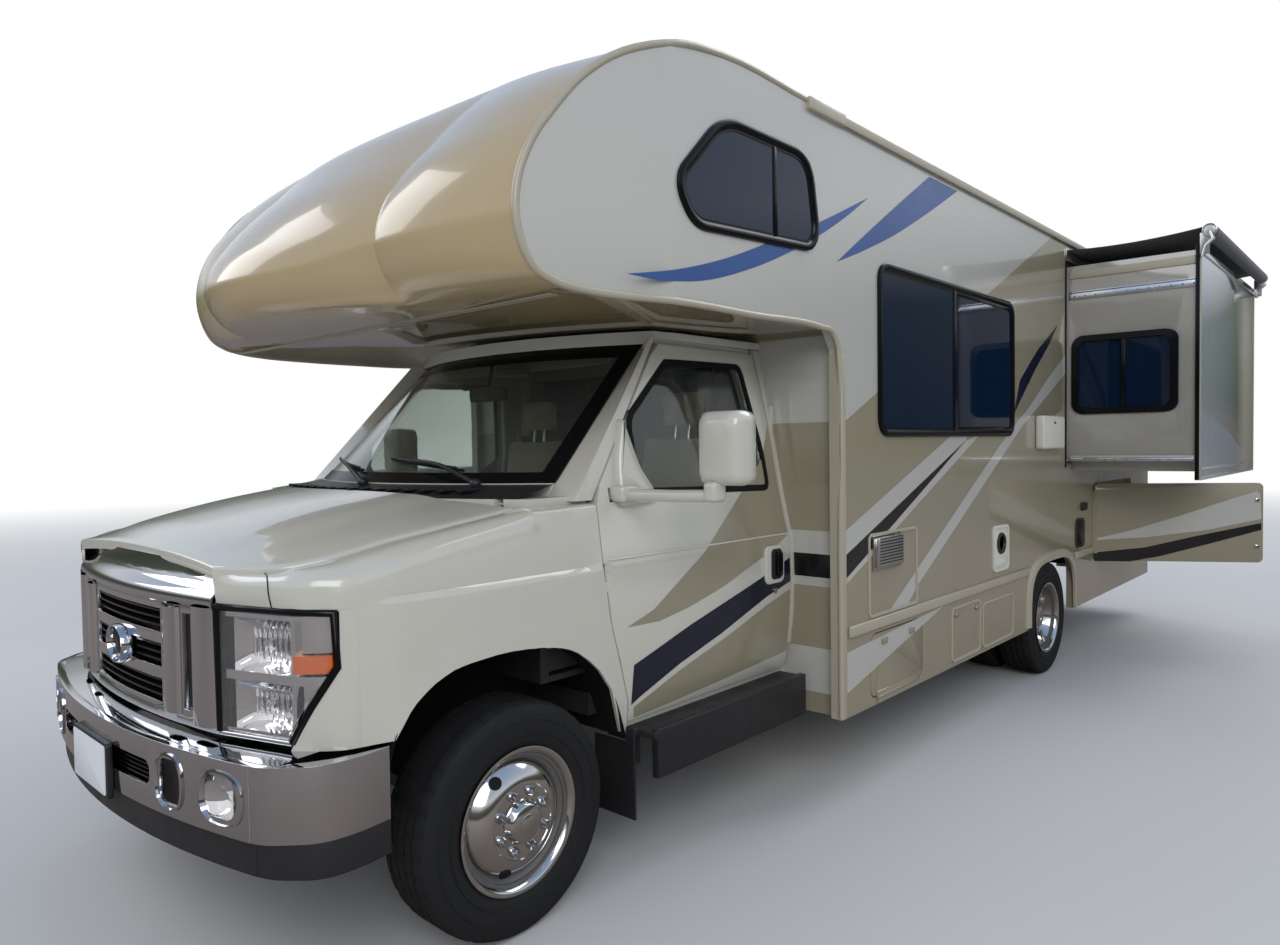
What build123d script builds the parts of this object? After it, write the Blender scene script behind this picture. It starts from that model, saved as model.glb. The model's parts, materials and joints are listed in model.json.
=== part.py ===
from build123d import *
import math
import os

# Cab-over motorhome in millimetres. While it is modelled, x runs to the vehicle's left, y to its rear and
# z up, with the front axle at y = 0 and the ground at z = 0. ORIGIN moves it all to the bounding box's
# bottom centre when it is written.

# Running gear
WHEELBASE = 4270
TYRE_RADIUS = 367
TYRE_HALF_WIDTH = 111
RIM_SEAT_RADIUS = 205.7
TYRE_BORE_RADIUS = 206
FRONT_WHEEL_X = 881.5
REAR_INNER_X = 853
REAR_OUTER_X = 1123
AXLE_Z = TYRE_RADIUS
KING_PIN_X = 720
KING_PIN_RADIUS = 14
KING_PIN_CLEARANCE = 0.5

# Chassis
RAIL_INNER_X = 392
RAIL_OUTER_X = 468
RAIL_BOTTOM = 470
RAIL_TOP = 650
RAIL_FRONT = -640
NOSE_PANEL_Y = -560
RAIL_REAR = 6740
HITCH_Z = 335
HITCH_PIN_RADIUS = 8
JOIST_WIDTH = 60

# Coach body
SIDE_X = 1257.5
WALL = 50
BODY_BOTTOM = 363
COACH_FRONT = 1518
FRONT_WALL_Y = 1555
COACH_REAR = 6860
ROOF_EDGE_Z = 2875
ROOF_CROWN = 35
ROOF_THICKNESS = 60
CAP_REAR = 1280
CAP_SKIN = 30
UNDERSIDE_Z = 2000
# The cab-over's sides come in ahead of TOE_START_Y, by TOE_SLOPE for each millimetre
TOE_START_Y = 450
TOE_END_Y = -260
TOE_SLOPE = 0.227
BUNK_FLOOR = 45
FLOOR_BOTTOM = 790
FLOOR_TOP = 850
PANEL_GAP = 6
SEAT_GAP = 0.3
LEAF_THICKNESS = 8
LEAF_WIDTH = 26
BARREL_RADIUS = 5

# Wheel arches: half length at the bottom, top and corner radius
REAR_ARCH_HALF = 460
REAR_ARCH_TOP = 765
REAR_ARCH_RADIUS = 160

# Slide-out
SLIDE_Y0 = 4570
SLIDE_Y1 = 6710
SLIDE_Z0 = 1385
SLIDE_Z1 = 2690
SLIDE_OUT_X = 2025
SLIDE_IN_X = 1215
SLIDE_WALL = 40
SLIDE_CLEARANCE = 15
SLIDE_LIP = 25
SLIDE_ARMS = [4720, 6560]
SLIDE_ARM_IN_X = 900
ARM_HALF = 32
ARM_BOTTOM = 1320
SLIDE_LIP_SIDE = 22
SLIDE_LIP_DROP = 115
TOPPER_RADIUS = 32
TOPPER_X = 2075
TOPPER_Z = 2790
TOPPER_Y0 = 4530
TOPPER_Y1 = 6750
TOPPER_THICKNESS = 4

# Doors and bays
CAB_DOOR_REAR = 1525
CAB_DOOR_BOTTOM = 550
CAB_DOOR_THICKNESS = 60
BOARD_TOP = 530
BOARD_OUT_X = 1090
BOARD_BOTTOM = 505
CAB_HINGE_X = 1000
CAB_HINGE_Y = 378
CAB_HINGE_RADIUS = 4.5
ENTRY_HINGE_X = SIDE_X + BARREL_RADIUS + SEAT_GAP
DOOR_THICKNESS = 40
ENTRY_Y0 = 1950
ENTRY_HINGE_Y = ENTRY_Y0 - 2
ENTRY_Y1 = 2600
ENTRY_Z0 = 540
ENTRY_Z1 = 2420
BAY_Y0 = 5190
BAY_Y1 = 6290
BAY_Z0 = 640
BAY_Z1 = 1215
BAY_OPEN_DEG = 60
BAY_DEPTH = 730
BAY_SKIN = 12
LUGGAGE_Y0 = 1766
LUGGAGE_Y1 = 2304
LUGGAGE_Z0 = 395
LUGGAGE_Z1 = 685
RIGHT_BAY_Y0 = 5190
RIGHT_BAY_Y1 = 6290
RIGHT_BAY_Z1 = 625
LOW_BAY_DEPTH = 600
HATCH_THICKNESS = 22

# Cab
HOOD_HINGE_X = 805
HOOD_HINGE_Y = 100
HOOD_HINGE_Z = 1345
HOOD_PIN_RADIUS = 4
CAB_FLOOR_Z = 690
SILL_BOTTOM = 480
CAB_BACK = FRONT_WALL_Y
CAB_ROOF_TOP = 1985
GLASS = 6
BUMPER_TOP = 725
BUMPER_BOTTOM = 525
BUMPER_SKIN = 35
VALANCE_BOTTOM = 430
GRILLE_HALF = 585
GRILLE_BOTTOM = 745
GRILLE_TOP = 1104

# Outermost things, which set the origin
MIRROR_OUT_X = 1465
BAY_DOOR_LENGTH = BAY_Y1 - BAY_Y0 - 2 * PANEL_GAP
BAY_HINGE_X = SIDE_X + BARREL_RADIUS + SEAT_GAP
BAY_HINGE_Y = BAY_Y0 - 5
BAY_REACH = BAY_HINGE_X + (BAY_DOOR_LENGTH + 10) * math.sin(math.radians(BAY_OPEN_DEG))
BUMPER_FRONT = -890
BUMPER_SAG = 0.16 / 1000
HORN_FRONT = BUMPER_FRONT + BUMPER_SKIN + BUMPER_SAG * RAIL_OUTER_X ** 2 + SEAT_GAP
LADDER_REAR = COACH_REAR + 130
AWNING_X = SIDE_X + 75
AWNING_RADIUS = 62
ORIGIN_X = (BAY_REACH - AWNING_X - AWNING_RADIUS) / 2
ORIGIN_Y = (BUMPER_FRONT + LADDER_REAR) / 2


def face_of(points, radius=0):
    """A flat face from corner points, its corners rounded when a radius is given."""
    if radius:
        return make_face(FilletPolyline(*points, radius=radius, close=True))
    return make_face(Polyline(*points, close=True))


def prism_x(face, x0, x1):
    """A face drawn in (y, z), extruded along x."""
    return extrude(Plane.YZ.offset(x0) * face, amount=x1 - x0)


def prism_y(face, y0, y1):
    """A face drawn in (x, z), extruded along y."""
    return extrude(Plane.XZ.offset(-y1) * face, amount=y1 - y0)


def prism_z(face, z0, z1):
    """A face drawn in (x, y), extruded along z."""
    return extrude(Plane.XY.offset(z0) * face, amount=z1 - z0)


def block(x0, x1, y0, y1, z0, z1):
    """A box between two corners."""
    return Pos((x0 + x1) / 2, (y0 + y1) / 2, (z0 + z1) / 2) * Box(x1 - x0, y1 - y0, z1 - z0)


def rod(start, end, radius):
    """A round bar between two points."""
    path = Vector(*end) - Vector(*start)
    return extrude(Plane(origin=start, z_dir=path) * Circle(radius), amount=path.length)


def ring_x(points, x, y, z):
    """Points of (distance along x, radius), turned about the x axis line through (y, z)."""
    shape = revolve(Plane.XY * face_of(points), axis=Axis.X)
    return Pos(x, y, z) * shape


def loft_bands(sections):
    """A ruled loft through closed sections, each a list of points in space."""
    faces = [Face(Wire.make_polygon([Vector(*point) for point in section])) for section in sections]
    return loft(faces, ruled=True)


def mirrored(shape):
    """The same shape on the vehicle's other side."""
    return mirror(shape, about=Plane.YZ)


def both(shape):
    """A left shape and its mirror image."""
    return [shape, mirrored(shape)]


def join(shapes):
    """One solid, or a group of solids, from shapes that touch or overlap."""
    total = shapes[0]
    for shape in shapes[1:]:
        total = total + shape
    return total


def upright_leaf(y, z0, z1, way):
    """Flat hinge leaf on the left side, from a barrel at y towards the front (-1) or the rear (1)."""
    if way < 0:
        near = y - BARREL_RADIUS - SEAT_GAP
        return block(SIDE_X, SIDE_X + LEAF_THICKNESS, y - LEAF_WIDTH, near, z0, z1)
    edge = y + 2 * PANEL_GAP
    raised = block(SIDE_X + SEAT_GAP, SIDE_X + LEAF_THICKNESS, y, edge, z0, z1)
    return raised + block(SIDE_X, SIDE_X + LEAF_THICKNESS, edge, y + LEAF_WIDTH, z0, z1)


def level_leaf(z, y0, y1, way):
    """Flat hinge leaf on the left side's face, from a barrel at z downwards (-1) or upwards (1)."""
    near = z + way * (BARREL_RADIUS + SEAT_GAP) if way < 0 else z
    z0, z1 = sorted((near, z + way * LEAF_WIDTH))
    return block(SIDE_X, SIDE_X + LEAF_THICKNESS, y0, y1, z0, z1)


def side_x(y):
    """Half width of the coach body at a distance along it."""
    return SIDE_X - max(0, TOE_START_Y - y) * TOE_SLOPE


def body_half_plan(inset, rear):
    """Left edge of the body's plan in (x, y), from the rear to the nose, moved inwards by the inset."""
    return [(side_x(y) - inset, y) for y in (rear, TOE_START_Y, TOE_END_Y)]


def within_walls(shape):
    """The part of a shape that lies between the coach sides."""
    left = body_half_plan(WALL, COACH_REAR)
    nose = [(left[-1][0], 2 * TOE_END_Y), (-left[-1][0], 2 * TOE_END_Y)]
    right = [(-x, y) for x, y in reversed(left)]
    return shape & prism_z(face_of(left + nose + right), UNDERSIDE_Z - WALL, ROOF_EDGE_Z + 2 * WALL)


def save(name, *shapes):
    """Write the solids of a node, moved to the origin."""
    solids = []
    for shape in shapes:
        solids.extend(shape.solids())
    moved = Pos(-ORIGIN_X, -ORIGIN_Y, 0) * Compound(solids)
    export_step(moved, os.path.join("parts", name + ".step"))


# Wheels and axles

# (distance from the wheel's middle, radius), once round the tyre's section
TYRE_SECTION = [
    (-78, TYRE_BORE_RADIUS),
    (-78, 223),
    (-104, 245),
    (-TYRE_HALF_WIDTH, 290),
    (-98, 350),
    (-80, TYRE_RADIUS),
    (80, TYRE_RADIUS),
    (98, 350),
    (TYRE_HALF_WIDTH, 290),
    (104, 245),
    (78, 223),
    (78, TYRE_BORE_RADIUS),
]
RIM_FLANGE = 221
RIM_INNER = 197
RIM_BAND = [
    (-86, RIM_FLANGE),
    (-79, RIM_FLANGE),
    (-79, RIM_SEAT_RADIUS),
    (79, RIM_SEAT_RADIUS),
    (79, RIM_FLANGE),
    (86, RIM_FLANGE),
    (86, RIM_INNER),
    (-86, RIM_INNER),
]
# Liner of a front wheel, domed outwards, and of a rear wheel, dished inwards
FRONT_LINER = [
    (78, 198), (46, 150), (74, 118), (84, 72), (112, 60),
    (112, 0), (60, 0), (60, 100), (30, 150), (60, 198),
]
# Hub faces, counted outwards from the wheel's middle
FRONT_HUB_FACE = 60
INNER_DISC_FACE = -10
REAR_LINER = [
    (78, 198), (24, 182), (-34, 140), (-40, 100), (30, 88), (30, 0), (-60, 0), (-60, 150), (0, 198),
]
DISC = [(10, 198), (30, 60), (30, 0), (-10, 0), (-10, 60), (-10, 198)]


def wheel(side, x, y, liner):
    """Tyre and rim whose outer side faces the given side."""
    tyre = ring_x(TYRE_SECTION, 0, 0, 0)
    rim = ring_x(RIM_BAND, 0, 0, 0) + ring_x(liner, 0, 0, 0)
    place = Pos(x, y, AXLE_Z)
    if side < 0:
        return mirrored(place * tyre), mirrored(place * rim)
    return place * tyre, place * rim


def twin_wheel(side):
    """Outer and inner rear wheels on one hub."""
    outer_tyre, outer_rim = wheel(1, REAR_OUTER_X, WHEELBASE, REAR_LINER)
    inner_tyre, inner_rim = wheel(1, REAR_INNER_X, WHEELBASE, DISC)
    hub = rod((REAR_INNER_X, WHEELBASE, AXLE_Z), (REAR_OUTER_X, WHEELBASE, AXLE_Z), 85)
    rims = outer_rim + hub + inner_rim
    if side < 0:
        return [mirrored(outer_tyre), mirrored(inner_tyre)], mirrored(rims)
    return [outer_tyre, inner_tyre], rims


KNUCKLE_EAR = 45
BOSS_BOTTOM = 318
BOSS_TOP = 362
EAR_GAP = 6


def knuckle():
    """Left steering knuckle: two ears on the king pin, a spindle with its brake disc, and an arm."""
    ears = []
    under, over = BOSS_BOTTOM - EAR_GAP, BOSS_TOP + EAR_GAP
    for low, high in ((under - 40, under), (over, over + 45)):
        ear = block(KING_PIN_X, 800, -KNUCKLE_EAR, KNUCKLE_EAR, low, high)
        ears.append(ear + rod((KING_PIN_X, 0, low), (KING_PIN_X, 0, high), KNUCKLE_EAR))
    back = block(775, 800, -55, 55, BOSS_BOTTOM - EAR_GAP - 40, BOSS_TOP + EAR_GAP + 70)
    pin = rod((KING_PIN_X, 0, BOSS_BOTTOM - 20), (KING_PIN_X, 0, BOSS_TOP + 20), KING_PIN_RADIUS)
    disc = rod((808, 0, AXLE_Z), (832, 0, AXLE_Z), 165)
    spindle = rod((795, 0, AXLE_Z), (FRONT_WHEEL_X + FRONT_HUB_FACE - SEAT_GAP, 0, AXLE_Z), 40)
    arm = block(735, 765, 0, 200, BOSS_BOTTOM - EAR_GAP - 27, BOSS_BOTTOM - EAR_GAP)
    return join(ears + [back, pin, spindle, disc, arm])


def front_axle():
    """Twin beams with their coil springs and radius arms."""
    beam = block(-KING_PIN_X, KING_PIN_X, -38, 38, BOSS_BOTTOM, BOSS_TOP)
    bosses = both(rod((KING_PIN_X, 0, BOSS_BOTTOM), (KING_PIN_X, 0, BOSS_TOP), 42))
    holes = both(rod((KING_PIN_X, 0, 200), (KING_PIN_X, 0, 500), KING_PIN_RADIUS + KING_PIN_CLEARANCE))
    axle = join([beam] + bosses) - holes[0] - holes[1]
    mid = (RAIL_INNER_X + RAIL_OUTER_X) / 2
    extras = []
    for side in (-1, 1):
        extras.append(rod((side * mid, 0, BOSS_TOP - 5), (side * mid, 0, RAIL_BOTTOM), 62))
        extras.append(rod((side * mid, 0, 340), (side * mid, 800, 400), 22))
        extras.append(block(side * mid - 25, side * mid + 25, 770, 830, 375, RAIL_BOTTOM))
    return join([axle] + extras)


SPRING_X = 560
SPRING_HALF = 720


def rear_axle():
    """Axle tube with its differential, the leaf springs with their shackles, and the propeller shaft."""
    y = WHEELBASE
    reach = REAR_INNER_X + INNER_DISC_FACE - SEAT_GAP
    tube = rod((-reach, y, AXLE_Z), (reach, y, AXLE_Z), 58)
    pumpkin = Pos(0, y, AXLE_Z) * Sphere(165)
    shaft = rod((0, 1160, 470), (0, y - 100, AXLE_Z + 15), 45)
    pieces = [tube, pumpkin, shaft]
    leaf_z = AXLE_Z + 43
    short = SPRING_HALF / 2
    for side in (-1, 1):
        x = side * SPRING_X
        pieces.append(block(x - 38, x + 38, y - short, y + short, leaf_z, leaf_z + 40))
        pieces.append(block(x - 38, x + 38, y - SPRING_HALF, y + SPRING_HALF, leaf_z + 40, leaf_z + 70))
        for end in (-1, 1):
            ye = y + end * (SPRING_HALF - 40)
            pieces.append(block(x - 38, x + 38, ye - 40, ye + 40, leaf_z + 60, RAIL_BOTTOM + 90))
            x0, x1 = sorted((x, side * RAIL_OUTER_X))
            pieces.append(block(x0, x1, ye - 30, ye + 30, RAIL_BOTTOM + 50, RAIL_BOTTOM + 90))
    return join(pieces)


# Chassis

# y of each cross member between the rails
CROSS_MEMBERS = [-600, 1000, 2700, 3700, 4900, 6700]
WASTE_REAR = WHEELBASE - SPRING_HALF - 60
WASTE_FRONT = WASTE_REAR - 630
# y of each joist that carries the coach floor
JOISTS = [1640, WASTE_FRONT - JOIST_WIDTH, WASTE_REAR + JOIST_WIDTH, 4900, 5120, 6400, 6760]
MEMBER_BOTTOM = 560


def chassis_frame():
    """Two rails with their cross members, horns and cab outriggers."""
    pieces = []
    for side in (-1, 1):
        x0, x1 = sorted((side * RAIL_INNER_X, side * RAIL_OUTER_X))
        pieces.append(block(x0, x1, RAIL_FRONT, RAIL_REAR, RAIL_BOTTOM, RAIL_TOP))
        pieces.append(block(x0, x1, HORN_FRONT, RAIL_FRONT, 560, 640))
        plate = block(400, 880, NOSE_PANEL_Y, NOSE_PANEL_Y + 20, RAIL_TOP + 70, GRILLE_TOP)
        post = block(400, 460, NOSE_PANEL_Y, NOSE_PANEL_Y + 20, RAIL_TOP, RAIL_TOP + 80)
        for shape in (plate, post):
            pieces.append(shape if side > 0 else mirrored(shape))
    for y in CROSS_MEMBERS:
        pieces.append(block(-RAIL_INNER_X, RAIL_INNER_X, y - 40, y + 40, MEMBER_BOTTOM, RAIL_TOP))
    for side in (-1, 1):
        x0, x1 = sorted((side * RAIL_OUTER_X, side * 858))
        for y in (462, 1400):
            pieces.append(block(x0, x1, y - 40, y + 40, RAIL_TOP - 80, RAIL_TOP))
    return join(pieces)


def floor_joists():
    """Joists across the rails that carry the coach floor."""
    half, deep = SIDE_X - WALL, JOIST_WIDTH / 2
    return [block(-half, half, y - deep, y + deep, RAIL_TOP, FLOOR_BOTTOM) for y in JOISTS]


def engine():
    """Engine and gearbox as plain blocks, the radiator, and the exhaust with its silencer."""
    core = block(-270, 270, -450, 130, 480, 1080) + block(-170, 170, 130, 1150, 380, 552)
    hangers = block(-RAIL_INNER_X, RAIL_INNER_X, -200, -120, 500, 600)
    radiator = block(-400, 400, -640, -560, RAIL_TOP, 1100)
    pipe = rod((250, 900, 430), (250, 3500, 430), 32)
    silencer = rod((250, 2100, 430), (250, 2700, 430), 110)
    neck = block(150, 282, 850, 930, 405, 455)
    return join([core, hangers, pipe, silencer, neck]), radiator


def tanks():
    """Fuel tank between the rails, and waste tanks under the floor."""
    fuel = block(-RAIL_INNER_X + 6, RAIL_INNER_X - 6, 5200, 6350, 400, RAIL_TOP)
    fuel = fuel + block(-RAIL_INNER_X, RAIL_INNER_X, 5300, 5380, 480, 560)
    waste = block(-1150, -520, WASTE_FRONT, WASTE_REAR, 430, FLOOR_BOTTOM)
    return fuel, waste


def hitch_receiver():
    """Square receiver tube with its pin hole, on a cross bar between the rail ends."""
    outer, inner = 63.5, 51.5
    y0, y1 = COACH_REAR - 130, COACH_REAR + 45
    z = HITCH_Z
    tube = block(-outer / 2, outer / 2, y0, y1, z - outer / 2, z + outer / 2)
    bore = block(-inner / 2, inner / 2, y0 - 1, y1 + 1, z - inner / 2, z + inner / 2)
    bar = block(-RAIL_OUTER_X, RAIL_OUTER_X, y0 - 60, y0, z - 30, z + 30)
    arms = both(block(RAIL_INNER_X, RAIL_OUTER_X, y0 - 60, y0, z + 30, RAIL_BOTTOM))
    pin = rod((-60, y1 - 60, z), (60, y1 - 60, z), HITCH_PIN_RADIUS)
    return join([tube, bar] + arms) - bore - pin


# Cab

# (z, x) of the cab's side, from the sill up to the roof
CAB_SIDE = [
    (440, 940), (600, 978), (780, 999), (950, 1007), (1110, 1002), (1180, 984), (1330, 950), (1955, 830),
]
# (y, z) round the cab door
CAB_DOOR = [
    (392, 1330), (372, 1120), (400, 920), (462, 740), (505, 622), (512, CAB_DOOR_BOTTOM),
    (CAB_DOOR_REAR, CAB_DOOR_BOTTOM), (CAB_DOOR_REAR, 1500), (CAB_DOOR_REAR - 35, 1930), (860, 1930),
    (800, 1880), (420, 1400),
]
# (low z, high z) of the cab door's hinge barrels
CAB_HINGES = [(1035, 1070), (1095, 1130)]
# (y, z) round the door's window
CAB_WINDOW = [
    (600, 1356), (600, 1640), (875, 1872), (1385, 1880), (1450, 1500), (1450, 1330), (690, 1350),
]
# (y, z) round the front wheel arch
FRONT_ARCH = [
    (-455, 400), (-440, 740), (-380, 827), (-277, 892), (-124, 916), (82, 905), (214, 873), (310, 810),
    (430, 665), (490, 500), (490, 400),
]
MIRROR_PIVOT = (985, 500)
MIRROR_FOLD_DEG = 70


def door_band(thickness, proud=0):
    """Curved side skin of the cab, all along it."""
    inner = [(x - thickness, z) for z, x in reversed(CAB_SIDE)]
    return prism_y(face_of([(x + proud, z) for z, x in CAB_SIDE] + inner), -700, CAB_BACK)


def cab_door(folded):
    """Left cab door with its mirror, which stands out or is folded back."""
    panel = door_band(CAB_DOOR_THICKNESS) & prism_x(face_of(CAB_DOOR), 700, 1100)
    panel = panel - prism_x(face_of(CAB_WINDOW, 25), 700, 1100)
    for low, high in CAB_HINGES:
        middle = (CAB_HINGE_X, CAB_HINGE_Y)
        panel = panel - rod((*middle, low - SEAT_GAP), (*middle, high + SEAT_GAP), 3 * CAB_HINGE_RADIUS)
        web = block(CAB_HINGE_X - 3, CAB_HINGE_X + 3, CAB_HINGE_Y, CAB_HINGE_Y + 24, low, high)
        panel = panel + rod((*middle, low), (*middle, high), CAB_HINGE_RADIUS) + web
    foot = block(930, 1010, 455, 620, 1335, 1385)
    arm = block(1000, 1375, 480, 520, 1345, 1380)
    post = block(1335, 1375, 480, 560, 1345, 1400)
    head = block(1285, MIRROR_OUT_X, 510, 620, 1395, 1645)
    head = fillet(head.edges(), 18)
    mirror_unit = join([arm, post, head])
    if folded:
        pivot_x, pivot_y = MIRROR_PIVOT
        at_pivot = Pos(-pivot_x, -pivot_y, 0) * mirror_unit
        mirror_unit = Pos(pivot_x, pivot_y, 0) * Rot(0, 0, MIRROR_FOLD_DEG) * at_pivot
    return join([panel, foot, mirror_unit])


def cab_door_glass():
    """Pane in the left cab door, standing in the middle of the door's thickness."""
    inset = (CAB_DOOR_THICKNESS - GLASS) / 2
    outline = [(x - inset, z) for z, x in CAB_SIDE]
    inner = [(x - inset - GLASS, z) for z, x in reversed(CAB_SIDE)]
    band = prism_y(face_of(outline + inner), 0, CAB_BACK)
    sight = offset(face_of(CAB_WINDOW, 25), amount=-SEAT_GAP)
    return band & prism_x(sight, 700, 1100)


def front_plan(inset):
    """Half plan of the cab's nose in (x, y), from the door forward to the middle."""
    return [
        (0, -800 + inset), (GRILLE_HALF, -748 + inset), (860 - inset / 2, -655 + inset),
        (945 - inset, -560 + inset / 2), (985 - inset, -420), (1004 - inset, -200), (1007 - inset, 364),
    ]


# (y, z) along the top of the front wing
WING_TOP = [
    (364, 1345), (95, 1338), (-33, 1315), (-327, 1275),
    (-466, 1253), (-610, 1215), (-700, 1160), (-830, 1110),
]
WING_THICKNESS = 35
# (y, half width, edge z, middle z) of the hood from its lip to the cowl
HOOD_STATIONS = [
    (-752, 592, 1215, 1240), (-640, 745, 1215, 1275), (-330, 848, 1276, 1342), (105, 880, 1340, 1408),
]
HOOD_THICKNESS = 35
HOOD_LIP = 20
HOOD_REAR_MIDDLE = -95


def hood_side(gap):
    """Plan of the hood's region in (x, y), grown by the gap at its sides."""
    left = [(half + gap, y) for y, half, _, _ in HOOD_STATIONS]
    right = [(-x, y) for x, y in reversed(left)]
    return left + right


def wing():
    """Left front wing: side, shoulder and nose, with the wheel arch, and the liner round the arch."""
    def solid(inset):
        plan = front_plan(inset) + [(0, 364)]
        section = [(x - inset, z) for z, x in CAB_SIDE[:-1]]
        section = [(0, 400)] + section + [(0, CAB_SIDE[-2][0])]
        top = [(y, z - inset) for y, z in WING_TOP]
        side = top + [(-830, 400), (364, 400)]
        body = prism_z(face_of(plan), 400, 1400) & prism_y(face_of(section), -830, 364)
        return body & prism_x(face_of(side), 0, 1100)
    skin = solid(0) - solid(WING_THICKNESS)
    skin = skin - prism_z(face_of(hood_side(PANEL_GAP)), 1000, 1500)
    skin = skin & block(560, 1100, -830, 364, 500, 1400)
    lamp_hole = [(0, 400), (0, 1112), (936, 1112), (936, 957), (853, 752), (853, 400)]
    skin = skin - prism_y(face_of(lamp_hole), -830, -560)
    skin = skin - block(0, 1100, -900, -440, 400, BUMPER_TOP + 10)
    skin = skin - prism_x(face_of(FRONT_ARCH), 500, 1100) - block(0, 912, 98, 400, 400, 1500)
    skin = skin - prism_x(face_of([(y - PANEL_GAP, z) for y, z in CAB_DOOR]), 700, 1100)
    outer = [(y * 1.02, z + 14) for y, z in FRONT_ARCH[1:-2]]
    band = face_of(outer + list(reversed(FRONT_ARCH[1:-2])))
    liner = prism_x(band, 600, 975) & block(0, 1100, -600, 160, 0, 1400)
    liner = liner + (prism_x(band, 906, 975) & block(0, 1100, 150, 500, 0, 1400))
    apron = block(588, 602, -430, 158, 925, 1180)
    stay = block(588, 640, -70, 70, 915, 935)
    body = skin + liner + apron + stay
    for low, high in CAB_HINGES:
        seat = CAB_HINGE_Y - CAB_HINGE_RADIUS - SEAT_GAP
        body = body - block(CAB_HINGE_X - 14, 1100, seat - 4, seat + 40, low - SEAT_GAP, high + SEAT_GAP)
        body = body + block(CAB_HINGE_X - 12, CAB_HINGE_X + 2, seat - 20, seat, low, high)
    kept = [shape for shape in body.solids() if shape.volume > 1e5]
    return Compound(kept)


def hood():
    """Hood panel with its lip, cut to the curve of the windscreen's foot."""
    sections = []
    for index, (y, half, edge, middle) in enumerate(HOOD_STATIONS):
        deep = HOOD_LIP if index == 0 else HOOD_THICKNESS
        x, z = half * 0.6, edge + (middle - edge) * 0.72
        top = [(-half, y, edge), (-x, y, z), (0, y, middle), (x, y, z), (half, y, edge)]
        low = [(x, y, z - deep) for x, _, z in reversed(top)]
        sections.append(top + low)
    panel = loft_bands(sections)
    edge = HOOD_STATIONS[-1][1]
    rear = HOOD_REAR_MIDDLE + 190
    arc = ThreePointArc((-edge - 20, rear), (0, HOOD_REAR_MIDDLE), (edge + 20, rear))
    far = edge + 20
    behind = make_face([arc, Polyline((far, rear), (far, 400), (-far, 400), (-far, rear))])
    panel = panel - prism_z(behind, 1200, 1500)
    x0, x1 = HOOD_HINGE_X - 10, HOOD_HINGE_X + 10
    y, z = HOOD_HINGE_Y, HOOD_HINGE_Z
    arm = prism_x(face_of([(-20, 1300), (y, z - 10), (y, z + 6), (40, z - 8), (-20, 1322)]), x0, x1)
    arm = arm + rod((x0, y, z), (x1, y, z), 10)
    arm = arm - rod((x0 - 1, y, z), (x1 + 1, y, z), HOOD_PIN_RADIUS + SEAT_GAP)
    return join([panel] + both(arm))


# (half width, corner y, middle y, z) of the windscreen's foot and head
GLASS_FOOT = (800, 330, 70, 1405)
GLASS_HEAD = (745, 855, 665, 1935)
COWL_TOP = 1362
COWL_HALF = 905


def arc_band(half, corner, middle, thickness):
    """Plan of a curved bar in (x, y), from its half width and its front's y at corner and middle."""
    deep = corner + thickness
    front = ThreePointArc((-half, corner), (0, middle), (half, corner))
    back = ThreePointArc((half, deep), (0, middle + thickness), (-half, deep))
    right = Line((-half, deep), (-half, corner))
    return make_face([front, Line((half, corner), (half, deep)), back, right])


def screen_band(foot, head, thickness):
    """A curved pane between two level bands, each given as half width, corner y, middle y and z."""
    faces = []
    for half, corner, middle, z in (foot, head):
        faces.append(Plane.XY.offset(z) * arc_band(half, corner, middle, thickness))
    return loft(faces, ruled=True)


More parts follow.
